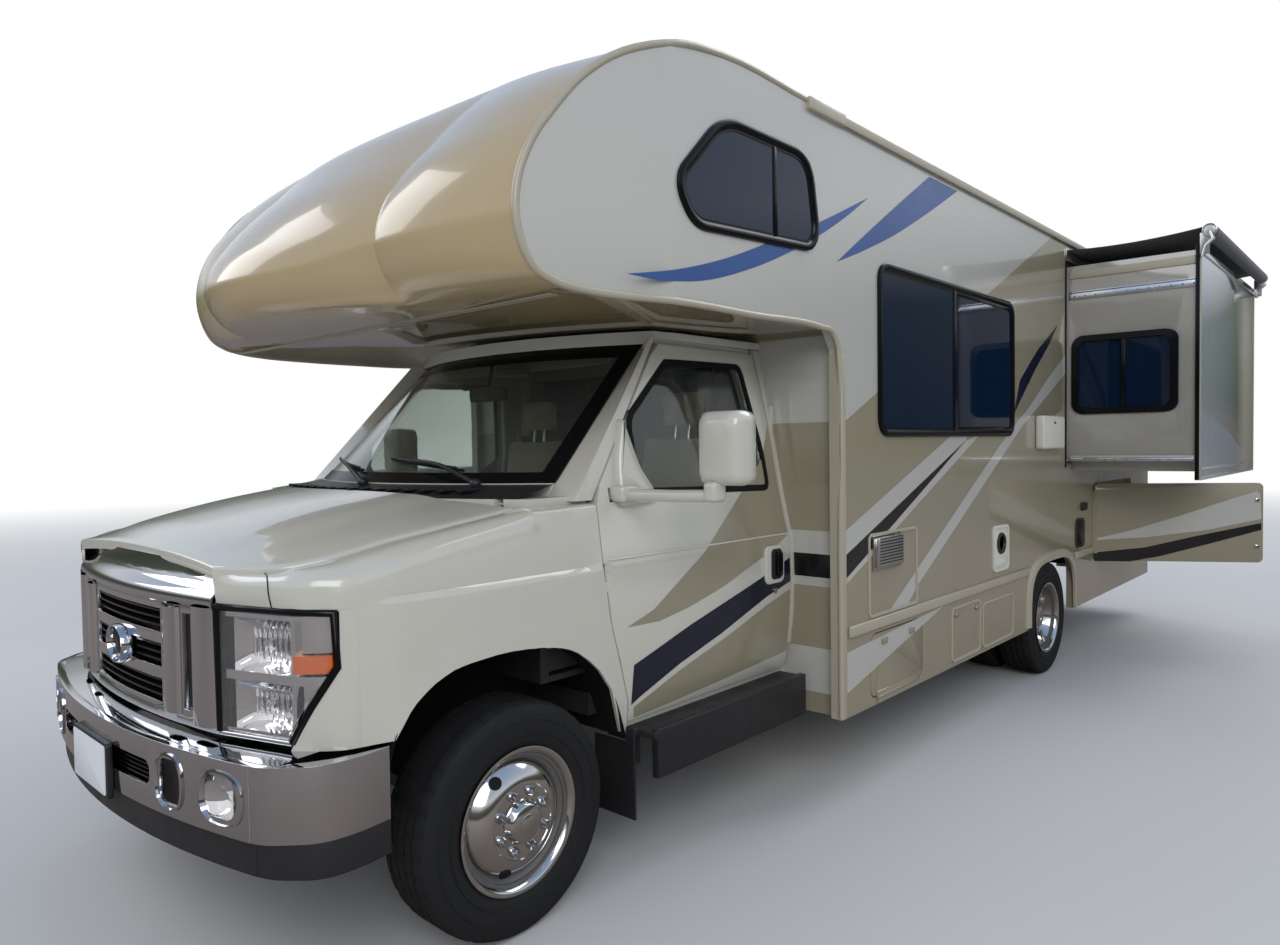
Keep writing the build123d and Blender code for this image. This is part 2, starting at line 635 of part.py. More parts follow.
def cab_shell():
    """Floor, firewall, cowl, pillars, door frames and roof of the cab."""
    pieces = [
        block(-880, 880, 480, CAB_BACK, CAB_FLOOR_Z - 40, CAB_FLOOR_Z),
        block(-520, 520, 165, 490, CAB_FLOOR_Z - 40, CAB_FLOOR_Z),
        block(-900, 900, 165, 500, 745, 765),
        block(-880, 880, 480, 500, CAB_FLOOR_Z - 40, 765),
        block(-900, 900, 165, 200, 760, 1330),
    ]
    cowl_arc = ThreePointArc((-880, 112), (0, HOOD_REAR_MIDDLE + 12), (880, 112))
    rear = [(COWL_HALF, 112), (COWL_HALF, 380), (-COWL_HALF, 380), (-COWL_HALF, 112)]
    rim = Polyline((880, 112), *rear, (-880, 112))
    pieces.append(prism_z(make_face([cowl_arc, rim]), 1322, COWL_TOP))
    half, corner, middle, foot_z = GLASS_FOOT
    pieces.append(prism_z(arc_band(half, corner - 8, middle - 8, 48), COWL_TOP - 1, foot_z - SEAT_GAP))
    half, corner, middle, head_z = GLASS_HEAD
    header = arc_band(half + 55, corner + 18, middle - 10, 75)
    pieces.append(prism_z(header, head_z + SEAT_GAP, CAB_ROOF_TOP))
    roof = [
        (-800, 905), (-600, 790), (0, 690), (600, 790), (800, 905), (815, 1000), (830, CAB_BACK),
        (-830, CAB_BACK), (-815, 1000),
    ]
    pieces.append(prism_z(face_of(roof), 1955, CAB_ROOF_TOP))
    doorway = prism_x(offset(face_of(CAB_DOOR), amount=PANEL_GAP), 700, 1100)
    door_room = doorway & door_band(CAB_DOOR_THICKNESS + PANEL_GAP, 2 * PANEL_GAP)
    for side in (-1, 1):
        foot = [(812, 275), (938, 295), (943, 372), (812, 395)]
        head = [(749, 877), (822, 822), (829, 842), (752, 925)]
        post = loft_bands([[(x, y, 1347) for x, y in foot], [(x, y, 1955) for x, y in head]]) - door_room
        pieces.append(post if side > 0 else mirrored(post))
        rail = prism_y(face_of([(765, 1935), (800, 1935), (800, 1970), (765, 1970)]), 900, CAB_BACK)
        edge = CAB_DOOR_REAR + 12
        rear = [(CAB_BACK, CAB_FLOOR_Z - 40), (CAB_BACK, 1950)]
        rear += [(edge - 29, 1950), (edge, 1500), (edge, CAB_FLOOR_Z - 40)]
        pillar = prism_x(face_of(rear), 700, 1100) & door_band(30)
        web = block(840, 900, edge, CAB_BACK, CAB_FLOOR_Z - 40, 1700)
        roof_web = block(760, 815, edge, CAB_BACK, 1600, 1960)
        sill_web = block(860, 900, 520, CAB_BACK, SILL_BOTTOM, CAB_FLOOR_Z)
        sill = block(895, 948, 520, CAB_BACK, SILL_BOTTOM, CAB_DOOR_BOTTOM - 8)
        for shape in (rail, pillar, web, roof_web, sill_web, sill):
            pieces.append(shape if side > 0 else mirrored(shape))
        x0, x1 = sorted((side * 875, side * 900))
        pieces.append(block(x0, x1, 165, 364, 780, 1250))
        x0, x1 = sorted((side * 895, side * 969.3))
        pieces.append(block(x0, x1, 290, 340, 900, 950))
    pieces.append(block(-520, 520, 165, 200, CAB_FLOOR_Z - 40, 765))
    doghouse = block(-300, 300, 160, 700, CAB_FLOOR_Z - 45, 1050) - block(-285, 285, 100, 685, 0, 1035)
    shell = join(pieces) - block(-285, 285, 100, 685, CAB_FLOOR_Z - 60, 1035) + doghouse
    for side in (-1, 1):
        x0, x1 = side * HOOD_HINGE_X - 16, side * HOOD_HINGE_X + 16
        shell = shell - block(x0, x1, 0, HOOD_HINGE_Y + 16, 1300, 1400)
        line = (HOOD_HINGE_Y, HOOD_HINGE_Z)
        shell = shell + rod((x0 - 1, *line), (x1 + 1, *line), HOOD_PIN_RADIUS)
    return shell


def dashboard():
    """Dashboard with the steering column and wheel."""
    section = [(200, 1000), (430, 1000), (470, 1120), (430, 1230), (330, 1300), (200, 1300)]
    notch = block(780, 900, 0, 370, 900, 1400)
    dash = prism_x(face_of(section), -860, 860) - block(-306, 306, 0, 800, 900, 1056)
    dash = dash - notch - mirrored(notch)
    hub_y, hub_z, driver_x = 600, 1130, 500
    column = rod((driver_x, 420, 1080), (driver_x, hub_y, hub_z), 32)
    lean = Pos(driver_x, hub_y, hub_z) * Rot(-62, 0, 0)
    rim = lean * Torus(190, 15)
    spoke = lean * Box(370, 45, 20)
    return join([dash, column, rim, spoke])


# (x, y) of each seat's middle
CAB_SEATS = [(500, 1060), (-500, 1060)]


def cab_seat(x, y):
    """Captain's seat: pedestal, cushion, back, head rest and arm rests."""
    base = block(x - 190, x + 190, y - 160, y + 200, CAB_FLOOR_Z, 880)
    cushion = block(x - 250, x + 250, y - 260, y + 260, 880, 1010)
    section = [(y + 160, 1000), (y + 290, 1000), (y + 390, 1600), (y + 290, 1600)]
    back = prism_x(face_of(section, 30), x - 240, x + 240)
    head = block(x - 130, x + 130, y + 300, y + 390, 1590, 1790)
    return join([base, cushion, back, head])


def bar_band(front, thick, half):
    """Plan of a bowed front bar in (x, y): a curve across the nose, as deep as the thickness."""
    edge = front + BUMPER_SAG * half * half
    outer = ThreePointArc((-half, edge), (0, front), (half, edge))
    inner = ThreePointArc((half, edge + thick), (0, front + thick), (-half, edge + thick))
    sides = [Line((half, edge), (half, edge + thick)), Line((-half, edge + thick), (-half, edge))]
    return make_face([outer, sides[0], inner, sides[1]])


# (low x, high x, low z, high z) of the bumper's openings
BUMPER_HOLES = [
    (-400, 400, 590, 660), (455, 565, 560, 685), (-565, -455, 560, 685), (655, 785, 570, 680),
    (-785, -655, 570, 680),
]


def bumper_plan(front, skin, half):
    """Plan of the bumper in (x, y): bowed front and wings that wrap round to the wheel arch."""
    corner_y = front + BUMPER_SAG * half * half
    outer = [(half, corner_y), (985, -660), (1000, -560), (985, -455)]
    inner = [(985 - skin, -455), (1000 - skin, -560), (980 - skin, -640), (half - 10, corner_y + skin)]
    return face_of([(half - 60, corner_y - 14)] + outer + inner + [(half - 60, corner_y + skin - 14)])


def bumper(low, high, front, skin):
    """Bowed bumper with wrapped ends."""
    half = 880
    middle = prism_z(bar_band(front, skin, half - 40), low, high)
    for x0, x1, z0, z1 in BUMPER_HOLES:
        if low < z0 and z1 < high:
            middle = middle - prism_y(face_of(rect((x0, x1, z0, z1)), 28), -1000, -700)
    wing_end = prism_z(bumper_plan(front, skin, half), low, high)
    return join([middle] + both(wing_end))


# (low z, high z) of the grille's slots
GRILLE_SLOTS = [(790, 860), (895, 965), (1000, 1070)]
GRILLE_OPENING_HALF = 290
# (inner x, outer x) of the tall slot beside the bars
SIDE_SLOT = (415, 465)
LEDGE_TOP = 1188


def grille():
    """Surround with three bars between slots, a tall slot on each side and a sloping ledge on top."""
    half = GRILLE_HALF - 4
    body = prism_z(bar_band(-800, 45, half), GRILLE_BOTTOM, GRILLE_TOP)
    foot = Plane.XY.offset(GRILLE_TOP) * bar_band(-800, 45, half)
    head = Plane.XY.offset(LEDGE_TOP) * bar_band(-758, 30, half - 8)
    body = body + loft([foot, head], ruled=True)
    for low, high in GRILLE_SLOTS:
        body = body - block(-GRILLE_OPENING_HALF, GRILLE_OPENING_HALF, -900, -600, low, high)
    low, high = GRILLE_SLOTS[0][0], GRILLE_SLOTS[-1][1]
    for slot in both(block(SIDE_SLOT[0], SIDE_SLOT[1], -900, -600, low, high)):
        body = body - slot
    mounts = both(block(GRILLE_HALF - 120, GRILLE_HALF - 60, -735, NOSE_PANEL_Y, 800, 1100))
    return join([body] + mounts)


def lamps():
    """Head lamps at the nose's corners, cut off below on the outside, and tail lamps on the rear wall."""
    inner_x, outer_x = GRILLE_HALF + 6, 928
    front = [(inner_x, -744), (860, -655), (outer_x, -580)]
    head = prism_z(face_of(front + [(outer_x, NOSE_PANEL_Y), (inner_x, NOSE_PANEL_Y)]), 750, 1106)
    corner = [(outer_x, 955), (outer_x + 9, 955), (outer_x + 9, 740), (841, 740)]
    head = head - prism_y(face_of(corner), -700, -500)
    tail = block(1060, 1180, COACH_REAR, COACH_REAR + 35, 860, 1120)
    return both(head) + both(tail)


def running_boards():
    """Step boards under the cab doors on brackets from the rails, with a mud flap at each front end."""
    board = block(955, BOARD_OUT_X, 520, 1505, BOARD_BOTTOM, BOARD_TOP)
    board = board + block(BOARD_OUT_X - 30, BOARD_OUT_X, 535, 1505, 365, BOARD_TOP + 8)
    for y in (700, 1350):
        board = board + block(RAIL_OUTER_X, 1000, y - 20, y + 20, 440, 468)
        board = board + block(960, 1000, y - 20, y + 20, 440, BOARD_BOTTOM)
        board = board + block(RAIL_OUTER_X, RAIL_OUTER_X + 30, y - 20, y + 20, 440, 560)
    flap = block(800, 1000, 508, 516, 200, 475) + block(960, 1000, 508, 540, 400, BOARD_TOP)
    return both(board + flap)


# Coach body

# (y, z) at the side wall, at the crease and in the middle of each row round the cab-over's nose, from the
# underside up to the roof
CAP_ROWS = [
    (60, 2014, 60, 2000, 60, 2000),
    (38, 2018, -60, 2002, -330, 1998),
    (20, 2024, -127, 2010, -400, 2006),
    (-39, 2055, -160, 2039, -440, 2038),
    (-76, 2111, -211, 2111, -465, 2100),
    (-99, 2208, -231, 2187, -445, 2175),
    (-92, 2297, -211, 2279, -385, 2260),
    (-51, 2412, -139, 2401, -275, 2385),
    (32, 2535, -18, 2539, -140, 2515),
    (117, 2636, 136, 2696, 5, 2655),
    (226, 2725, 320, 2839, 215, 2785),
    (480, 2832, 560, 2880, 510, 2862),
    (716, 2872, 800, 2892, 780, 2900),
    (CAP_REAR, ROOF_EDGE_Z, CAP_REAR, 2901, CAP_REAR, ROOF_EDGE_Z + ROOF_CROWN),
]
CREASE_X = 600
# (y, z) round the bunk window and the long side window
BUNK_WINDOW = [(724, 2641), (1268, 2641), (1330, 2316), (560, 2278), (481, 2394)]
SIDE_WINDOW = (1880, 3512, 1586, 2306)
WINDOW_BAR = 16
WINDOW_FRAME = 32
FRAME_PROUD = 12
RIGHT_WINDOWS = [(3000, 3900, 1586, 2306), (4700, 5500, 1700, 2306)]
REAR_WINDOW = (-500, 500, 1700, 2250)


def side_outline():
    """Outer outline of a coach side in (y, z)."""
    nose = [(130, UNDERSIDE_Z + 2)] + [(row[0], row[1]) for row in CAP_ROWS]
    lower = [(COACH_FRONT, BODY_BOTTOM), (COACH_FRONT, UNDERSIDE_Z - 80), (COACH_FRONT - 60, UNDERSIDE_Z)]
    return lower + nose + [(COACH_REAR, ROOF_EDGE_Z), (COACH_REAR, BODY_BOTTOM)]


def rect(window, grow=0):
    """Corner points of a window given as low and high in both directions."""
    a0, a1, b0, b1 = window
    a0, a1, b0, b1 = a0 - grow, a1 + grow, b0 - grow, b1 + grow
    return [(a0, b0), (a1, b0), (a1, b1), (a0, b1)]


def grown(points, grow):
    """A window outline moved outwards from its own middle by about the given distance."""
    my = sum(y for y, _ in points) / len(points)
    mz = sum(z for _, z in points) / len(points)
    moved = []
    for y, z in points:
        size = math.hypot(y - my, z - mz)
        moved.append((y + (y - my) / size * grow * 1.2, z + (z - mz) / size * grow * 1.2))
    return moved


def rear_arch():
    """The rear wheel arch in (y, z)."""
    low, high = WHEELBASE - REAR_ARCH_HALF, WHEELBASE + REAR_ARCH_HALF
    return face_of([(low, 0), (high, 0), (high, REAR_ARCH_TOP), (low, REAR_ARCH_TOP)], REAR_ARCH_RADIUS)


def cabover_side():
    """Panel of the left side that comes in round the cab-over's nose, ahead of the flat side."""
    band = face_of(body_half_plan(0, COACH_REAR) + list(reversed(body_half_plan(WALL, COACH_REAR))))
    panel = prism_x(face_of(side_outline()), SIDE_X / 2, SIDE_X + 1) & prism_z(band, 0, 2 * UNDERSIDE_Z)
    return panel & block(0, 2 * SIDE_X, 2 * TOE_END_Y, TOE_START_Y, 0, 2 * UNDERSIDE_Z)


def wall(cuts):
    """Left coach side with holes, each a face in (y, z)."""
    panel = prism_x(face_of(side_outline()), SIDE_X - WALL, SIDE_X)
    panel = panel & block(0, 2 * SIDE_X, TOE_START_Y, 2 * COACH_REAR, 0, 2 * UNDERSIDE_Z)
    for cut in [rear_arch(), face_of(BUNK_WINDOW, 60)] + cuts:
        panel = panel - prism_x(cut, SIDE_X - WALL - 1, SIDE_X + 1)
    return panel


def coach_side_left():
    """Left side with its window, the slide-out's opening, the rear bay and the luggage hatch."""
    c = SLIDE_CLEARANCE
    panel = wall([
        face_of(rect(SIDE_WINDOW), 60),
        face_of(rect((SLIDE_Y0 - c, SLIDE_Y1 + c, SLIDE_Z0 - c, SLIDE_Z1 + c)), 20),
        face_of(rect((BAY_Y0, BAY_Y1, BAY_Z0, BAY_Z1)), 40),
        face_of(rect((LUGGAGE_Y0, LUGGAGE_Y1, LUGGAGE_Z0, LUGGAGE_Z1)), 50),
    ])
    for y in SLIDE_ARMS:
        side = PANEL_GAP + ARM_HALF
        low = ARM_BOTTOM - SEAT_GAP
        panel = panel - block(SIDE_X - WALL - 1, SIDE_X + 1, y - side, y + side, low, SLIDE_Z0)
    panel = panel + upright_leaf(BAY_HINGE_Y, BAY_Z0 + 60, BAY_Z1 - 60, -1)
    return panel + level_leaf(LUGGAGE_Z0 - 1, LUGGAGE_Y0 + 60, LUGGAGE_Y1 - 60, -1)


def coach_side_right():
    """Right side with the entry doorway, two windows and a luggage hatch."""
    cuts = [face_of(rect(window), 60) for window in RIGHT_WINDOWS]
    cuts.append(face_of(rect((ENTRY_Y0, ENTRY_Y1, ENTRY_Z0, ENTRY_Z1)), 60))
    cuts.append(face_of(rect((RIGHT_BAY_Y0, RIGHT_BAY_Y1, LUGGAGE_Z0, RIGHT_BAY_Z1)), 40))
    panel = wall(cuts) + level_leaf(LUGGAGE_Z0 - 1, RIGHT_BAY_Y0 + 60, RIGHT_BAY_Y1 - 60, -1)
    for low, high in ENTRY_HINGES:
        panel = panel + upright_leaf(ENTRY_HINGE_Y, low, high, -1)
    return mirrored(panel)


def window_units():
    """Frames and panes of all coach windows that stay on the body."""
    frames, panes = [], []
    x = SIDE_X + FRAME_PROUD
    pane_x = SIDE_X - 4

    def unit(points, radius, bar, flip):
        outer = prism_x(face_of(grown(points, WINDOW_FRAME), radius + 10), SIDE_X, x)
        inner = prism_x(face_of(points, radius), SIDE_X - WALL - 1, x + 1)
        sight = face_of(grown(points, -9), radius - 8)
        neck = prism_x(face_of(points, radius), SIDE_X - WALL, SIDE_X)
        ring = outer + neck - prism_x(sight, SIDE_X - WALL - 1, x + 1)
        pane = prism_x(sight, pane_x - GLASS, pane_x)
        low_z = min(z for _, z in points)
        high_z = max(z for _, z in points)
        divider = block(pane_x, x, bar - WINDOW_BAR, bar + WINDOW_BAR, low_z - 5, high_z + 5) & inner
        ring = ring + divider
        frames.append(mirrored(ring) if flip else ring)
        panes.append(mirrored(pane) if flip else pane)

    unit(BUNK_WINDOW, 60, 1010, False)
    unit(BUNK_WINDOW, 60, 1010, True)
    unit(rect(SIDE_WINDOW), 60, 2640, False)
    for window in RIGHT_WINDOWS:
        unit(rect(window), 60, (window[0] + window[1]) / 2, True)
    front, back = COACH_REAR - WALL, COACH_REAR + FRAME_PROUD
    hole = prism_y(face_of(rect(REAR_WINDOW, -9), 50), front - 1, back + 1)
    outer = prism_y(face_of(rect(REAR_WINDOW, WINDOW_FRAME), 70), COACH_REAR, back)
    neck = prism_y(face_of(rect(REAR_WINDOW), 60), COACH_REAR - WALL, COACH_REAR)
    frames.append(outer + neck - hole)
    panes.append(prism_y(face_of(rect(REAR_WINDOW, -9), 50), COACH_REAR - 4 - GLASS, COACH_REAR - 4))
    return frames, panes


def coach_rear_wall():
    """Rear wall between the sides, with its window."""
    half = SIDE_X - WALL
    body = block(-half, half, COACH_REAR - WALL, COACH_REAR, BODY_BOTTOM, ROOF_EDGE_Z - ROOF_THICKNESS)
    body = body - block(-520, 520, COACH_REAR - WALL - 1, COACH_REAR + 1, 0, RAIL_TOP)
    return body - prism_y(face_of(rect(REAR_WINDOW), 60), COACH_REAR - WALL - 1, COACH_REAR + 1)


def coach_front_wall():
    """Wall behind the cab, open to it in the middle."""
    half = SIDE_X - WALL
    body = block(-half, half, FRONT_WALL_Y, FRONT_WALL_Y + WALL, BODY_BOTTOM, UNDERSIDE_Z)
    return body - block(-780, 780, FRONT_WALL_Y - 1, FRONT_WALL_Y + WALL + 1, 0, 1900)


def coach_floor():
    """Floor panel, cut for the entry step and for the tall bay, with the entry's step box."""
    half = SIDE_X - WALL
    body = block(-half, half, FRONT_WALL_Y + WALL, COACH_REAR - WALL, FLOOR_BOTTOM, FLOOR_TOP)
    y0, y1 = BAY_Y0 - BAY_SKIN - 2, BAY_Y1 + BAY_SKIN + 2
    body = body - block(half - BAY_DEPTH - 2, half + 1, y0, y1, 0, FLOOR_TOP + 1)
    well = block(-half, -half + 300, ENTRY_Y0 - 20, ENTRY_Y1 + 20, ENTRY_Z0 - 20, FLOOR_TOP)
    hollow = block(-half - 1, -half + 280, ENTRY_Y0, ENTRY_Y1, ENTRY_Z0, FLOOR_TOP + 1)
    return body + well - hollow


def bay_liners():
    """Storage bins behind the hatches, open towards them."""
    half = SIDE_X - WALL
    # (side, y0, y1, z0, z1, depth) of each bin's inside
    bins = [
        (1, BAY_Y0, BAY_Y1, BAY_Z0, BAY_Z1, BAY_DEPTH),
        (1, LUGGAGE_Y0, LUGGAGE_Y1, LUGGAGE_Z0, LUGGAGE_Z1, LOW_BAY_DEPTH),
        (-1, RIGHT_BAY_Y0, RIGHT_BAY_Y1, LUGGAGE_Z0, RIGHT_BAY_Z1, LOW_BAY_DEPTH),
    ]
    shells = []
    for side, y0, y1, z0, z1, depth in bins:
        t = BAY_SKIN
        shell = block(half - depth, half, y0 - t, y1 + t, z0 - t, z1 + t)
        shell = shell - block(half - depth + t, half + 1, y0, y1, z0, z1)
        shells.append(shell if side > 0 else mirrored(shell))
    return shells


def coach_roof():
    """Crowned roof between the side walls, behind the cap."""
    half = SIDE_X - WALL
    arc = ThreePointArc((-half, ROOF_EDGE_Z), (0, ROOF_EDGE_Z + ROOF_CROWN), (half, ROOF_EDGE_Z))
    low = ROOF_EDGE_Z - ROOF_THICKNESS
    under = Polyline((half, ROOF_EDGE_Z), (half, low), (-half, low), (-half, ROOF_EDGE_Z))
    return prism_y(make_face([arc, under]), CAP_REAR, COACH_REAR)


def cap_section(x):
    """Outer line of the cap in (y, z), cut at a distance from its middle."""
    points = []
    for wall_y, wall_z, crease_y, crease_z, mid_y, mid_z in CAP_ROWS:
        if abs(x) <= CREASE_X:
            share = (x / CREASE_X) ** 2
            points.append((mid_y + (crease_y - mid_y) * share, mid_z + (crease_z - mid_z) * share))
        else:
            share = (abs(x) - CREASE_X) / (side_x(wall_y) - WALL - CREASE_X)
            y, z = crease_y + (wall_y - crease_y) * share, crease_z + (wall_z - crease_z) * share
            points.append((y, z))
    return points


def front_cap():
    """Moulded nose of the cab-over: a bulge between two creases, with a flatter shoulder on each side."""
    def inner(points):
        moved = [(points[0][0], points[0][1] + CAP_SKIN)]
        for before, here, after in zip(points, points[1:], points[2:]):
            dy, dz = after[0] - before[0], after[1] - before[1]
            size = math.hypot(dy, dz)
            moved.append((here[0] + dz / size * CAP_SKIN, here[1] - dy / size * CAP_SKIN))
        moved.append((points[-1][0], points[-1][1] - CAP_SKIN))
        return moved

    sections = []
    steps = (0, CREASE_X / 3, CREASE_X * 2 / 3, CREASE_X, SIDE_X - WALL)
    for x in [-step for step in reversed(steps[1:])] + list(steps):
        points = cap_section(x)
        sections.append([(x, y, z) for y, z in points + list(reversed(inner(points)))])
    return within_walls(loft_bands(sections))


def cabover_floor():
    """Bunk floor over the cab, behind the cap."""
    front, half = CAP_ROWS[0][0], SIDE_X - WALL
    rear, top = FRONT_WALL_Y + WALL, UNDERSIDE_Z + BUNK_FLOOR
    return within_walls(block(-half, half, front, rear, UNDERSIDE_Z, top))


# Roof and outside equipment

# (x, y, length, width, height) of each box on the roof
ROOF_BOXES = [
    (0, 3500, 1000, 700, 330), (0, 2250, 520, 520, 110),
    (-500, 5400, 480, 480, 110), (450, 4700, 300, 300, 90),
]


def roof_units():
    """Air conditioner and vents on the roof."""
    units = []
    for x, y, length, width, height in ROOF_BOXES:
        top = ROOF_EDGE_Z + ROOF_CROWN * (1 - (abs(x) + width / 2) ** 2 / (SIDE_X - WALL) ** 2)
        base = block(x - width / 2, x + width / 2, y - length / 2, y + length / 2, top - 2, top + height)
        base = fillet(base.edges().filter_by(Axis.Z), 60)
        roof = block(x - 1000, x + 1000, y - 2000, y + 2000, 0, ROOF_EDGE_Z)
        units.append(base - roof)
    cut = coach_roof()
    return [unit - cut for unit in units]


def patio_awning():
    """Rolled awning on the right side with its two folded arms."""
    x = -AWNING_X
    z = 2740
    tube = rod((x, 1640, z), (x, 6360, z), AWNING_RADIUS)
    pieces = [tube]
    for y in (1700, 6300):
        pieces.append(block(-SIDE_X - 45, -SIDE_X, y - 25, y + 25, 1150, 2690))
        pieces.append(block(-SIDE_X - 75, -SIDE_X - 20, y - 25, y + 25, 2600, 2760))
    return join(pieces)


def rear_ladder():
    """Ladder on the rear wall with stand-offs and a rail over the roof's edge."""
    pieces = []
    for x in (-950, -640):
        pieces.append(rod((x, COACH_REAR + 95, 700), (x, COACH_REAR + 95, ROOF_EDGE_Z + 120), 14))
        for z in (800, 1700, 2600):
            pieces.append(rod((x, COACH_REAR, z), (x, COACH_REAR + 95, z), 12))
    for index in range(7):
        z = 850 + index * 300
        pieces.append(rod((-950, COACH_REAR + 95, z), (-640, COACH_REAR + 95, z), 14))
    return join(pieces)


def rear_bumper():
    """Moulded rear bumper on two stays."""
    half = SIDE_X - 20
    beam = block(-half, half, COACH_REAR + 1, COACH_REAR + 120, 560, 690)
    beam = fillet(beam.edges().filter_by(Axis.Z), 40)
    stays = both(block(RAIL_INNER_X, RAIL_OUTER_X, RAIL_REAR, COACH_REAR + 2, 575, 640))
    return join([beam] + stays)


# Slide-out

SLIDE_WINDOW = (1325, 1882, 1732, 2190)


def slide_out():
    """Slide-out room, open to the coach, with its outer lip and its carrying arms."""
    t = SLIDE_WALL
    lip_x = SLIDE_OUT_X - SLIDE_LIP
    room = block(SLIDE_IN_X, lip_x, SLIDE_Y0, SLIDE_Y1, SLIDE_Z0, SLIDE_Z1)
    inside_x = lip_x - t
    hollow = block(SLIDE_IN_X - 1, inside_x, SLIDE_Y0 + t, SLIDE_Y1 - t, SLIDE_Z0 + t, SLIDE_Z1 - t)
    for y in SLIDE_ARMS:
        room = room + block(SLIDE_ARM_IN_X, lip_x, y - ARM_HALF, y + ARM_HALF, ARM_BOTTOM, SLIDE_Z0)
    y0, y1 = SLIDE_Y0 - SLIDE_LIP_SIDE, SLIDE_Y1 + SLIDE_LIP_SIDE
    z0, z1 = SLIDE_Z0 - SLIDE_LIP_DROP, SLIDE_Z1 + SLIDE_LIP_SIDE
    lip = block(lip_x, SLIDE_OUT_X, y0, y1, z0, z1)
    window = prism_y(face_of(rect(SLIDE_WINDOW), 50), SLIDE_Y0 - 1, SLIDE_Y0 + t + 1)
    return room + lip - hollow - window


def slide_window():
    """Pane and frame in the slide-out's front wall."""
    outer = prism_y(face_of(rect(SLIDE_WINDOW, 28), 60), SLIDE_Y0 - FRAME_PROUD, SLIDE_Y0)
    neck = prism_y(face_of(rect(SLIDE_WINDOW), 50), SLIDE_Y0, SLIDE_Y0 + SLIDE_WALL)
    hole = prism_y(face_of(rect(SLIDE_WINDOW, -8), 42), SLIDE_Y0 - 20, SLIDE_Y0 + SLIDE_WALL + 1)
    pane = prism_y(face_of(rect(SLIDE_WINDOW, -8), 42), SLIDE_Y0 + 4, SLIDE_Y0 + 4 + GLASS)
    return join([outer + neck - hole, pane])


def topper_roller():
    """Topper's roller tube with its brackets on the slide-out's lip."""
    pieces = [rod((TOPPER_X, TOPPER_Y0, TOPPER_Z), (TOPPER_X, TOPPER_Y1, TOPPER_Z), TOPPER_RADIUS)]
    for y in (TOPPER_Y0 + 8, TOPPER_Y1 - 8):
        pieces.append(block(SLIDE_OUT_X, TOPPER_X, y - 8, y + 8, 2650, TOPPER_Z - 10))
    for y0, y1 in ((TOPPER_Y0, SLIDE_Y0 + 10), (SLIDE_Y1 - 10, TOPPER_Y1)):
        pieces.append(block(SLIDE_OUT_X, SLIDE_OUT_X + 12, y0, y1, 2650, 2705))
    return join(pieces)


def topper_fabric():
    """Fabric from the coach side to the top of the roller."""
    wall_z = 2800
    roller_top = TOPPER_Z + TOPPER_RADIUS
    x0, x1 = SIDE_X + SEAT_GAP, TOPPER_X
    z0, z1 = wall_z, roller_top + SEAT_GAP
    outline = [(x0, z0), (x1, z1), (x1, z1 + TOPPER_THICKNESS), (x0, z0 + TOPPER_THICKNESS)]
    return prism_y(face_of(outline), TOPPER_Y0 + 20, TOPPER_Y1 - 20)


# Doors

# (low z, high z) of the entry door's hinges
ENTRY_HINGES = [(650, 770), (1420, 1540), (2200, 2320)]


def entry_door():
    """Entry door with its window, latch and hinges."""
    window = (ENTRY_Y0 + 130, ENTRY_Y1 - 130, 1550, 2250)
    outline = face_of(rect((ENTRY_Y0, ENTRY_Y1, ENTRY_Z0, ENTRY_Z1), -PANEL_GAP), 56)
    panel = prism_x(outline, SIDE_X - DOOR_THICKNESS, SIDE_X)
    panel = panel - prism_x(face_of(rect(window), 40), SIDE_X - WALL - 1, SIDE_X + 1)
    panel = panel + block(SIDE_X, SIDE_X + 25, ENTRY_Y1 - 90, ENTRY_Y1 - 40, 1250, 1420)
    for low, high in ENTRY_HINGES:
        middle = (ENTRY_HINGE_X, ENTRY_HINGE_Y)
        panel = panel + rod((*middle, low), (*middle, high), BARREL_RADIUS)
        panel = panel + upright_leaf(ENTRY_HINGE_Y, low, high, 1)
    pane = prism_x(face_of(rect(window), 40), SIDE_X - 20, SIDE_X - 20 + GLASS)
    return mirrored(panel), mirrored(pane)


def hatch(y0, y1, z0, z1, radius):
    """Flush hatch on the left side, with the panel gap all round."""
    face = face_of(rect((y0, y1, z0, z1), -PANEL_GAP), radius - PANEL_GAP)
    return prism_x(face, SIDE_X - HATCH_THICKNESS, SIDE_X)


def rear_bay_door():
    """Tall bay's door, hinged at its front edge and standing open, on its hinge barrel."""
    low, high = BAY_Z0 + 60, BAY_Z1 - 60
    door = hatch(BAY_Y0, BAY_Y1, BAY_Z0, BAY_Z1, 40) + upright_leaf(BAY_HINGE_Y, low, high, 1)
    door = door + rod((BAY_HINGE_X, BAY_HINGE_Y, low), (BAY_HINGE_X, BAY_HINGE_Y, high), BARREL_RADIUS)
    back = Pos(-BAY_HINGE_X, -BAY_HINGE_Y, 0)
    return Pos(BAY_HINGE_X, BAY_HINGE_Y, 0) * Rot(0, 0, -BAY_OPEN_DEG) * back * door


def luggage_door(y0, y1, z0, z1, side):
    """Luggage hatch that drops on a hinge along its lower edge, with two latches."""
    z = z0 - 1
    door = hatch(y0, y1, z0, z1, 50) + level_leaf(z, y0 + 60, y1 - 60, 1)
    barrel_x = SIDE_X + BARREL_RADIUS + SEAT_GAP
    door = door + rod((barrel_x, y0 + 60, z), (barrel_x, y1 - 60, z), BARREL_RADIUS)
    for y in (y0 + 130, y1 - 130):
        door = door + block(SIDE_X, SIDE_X + 10, y - 22, y + 22, z1 - 60, z1 - 35)
    return door if side > 0 else mirrored(door)


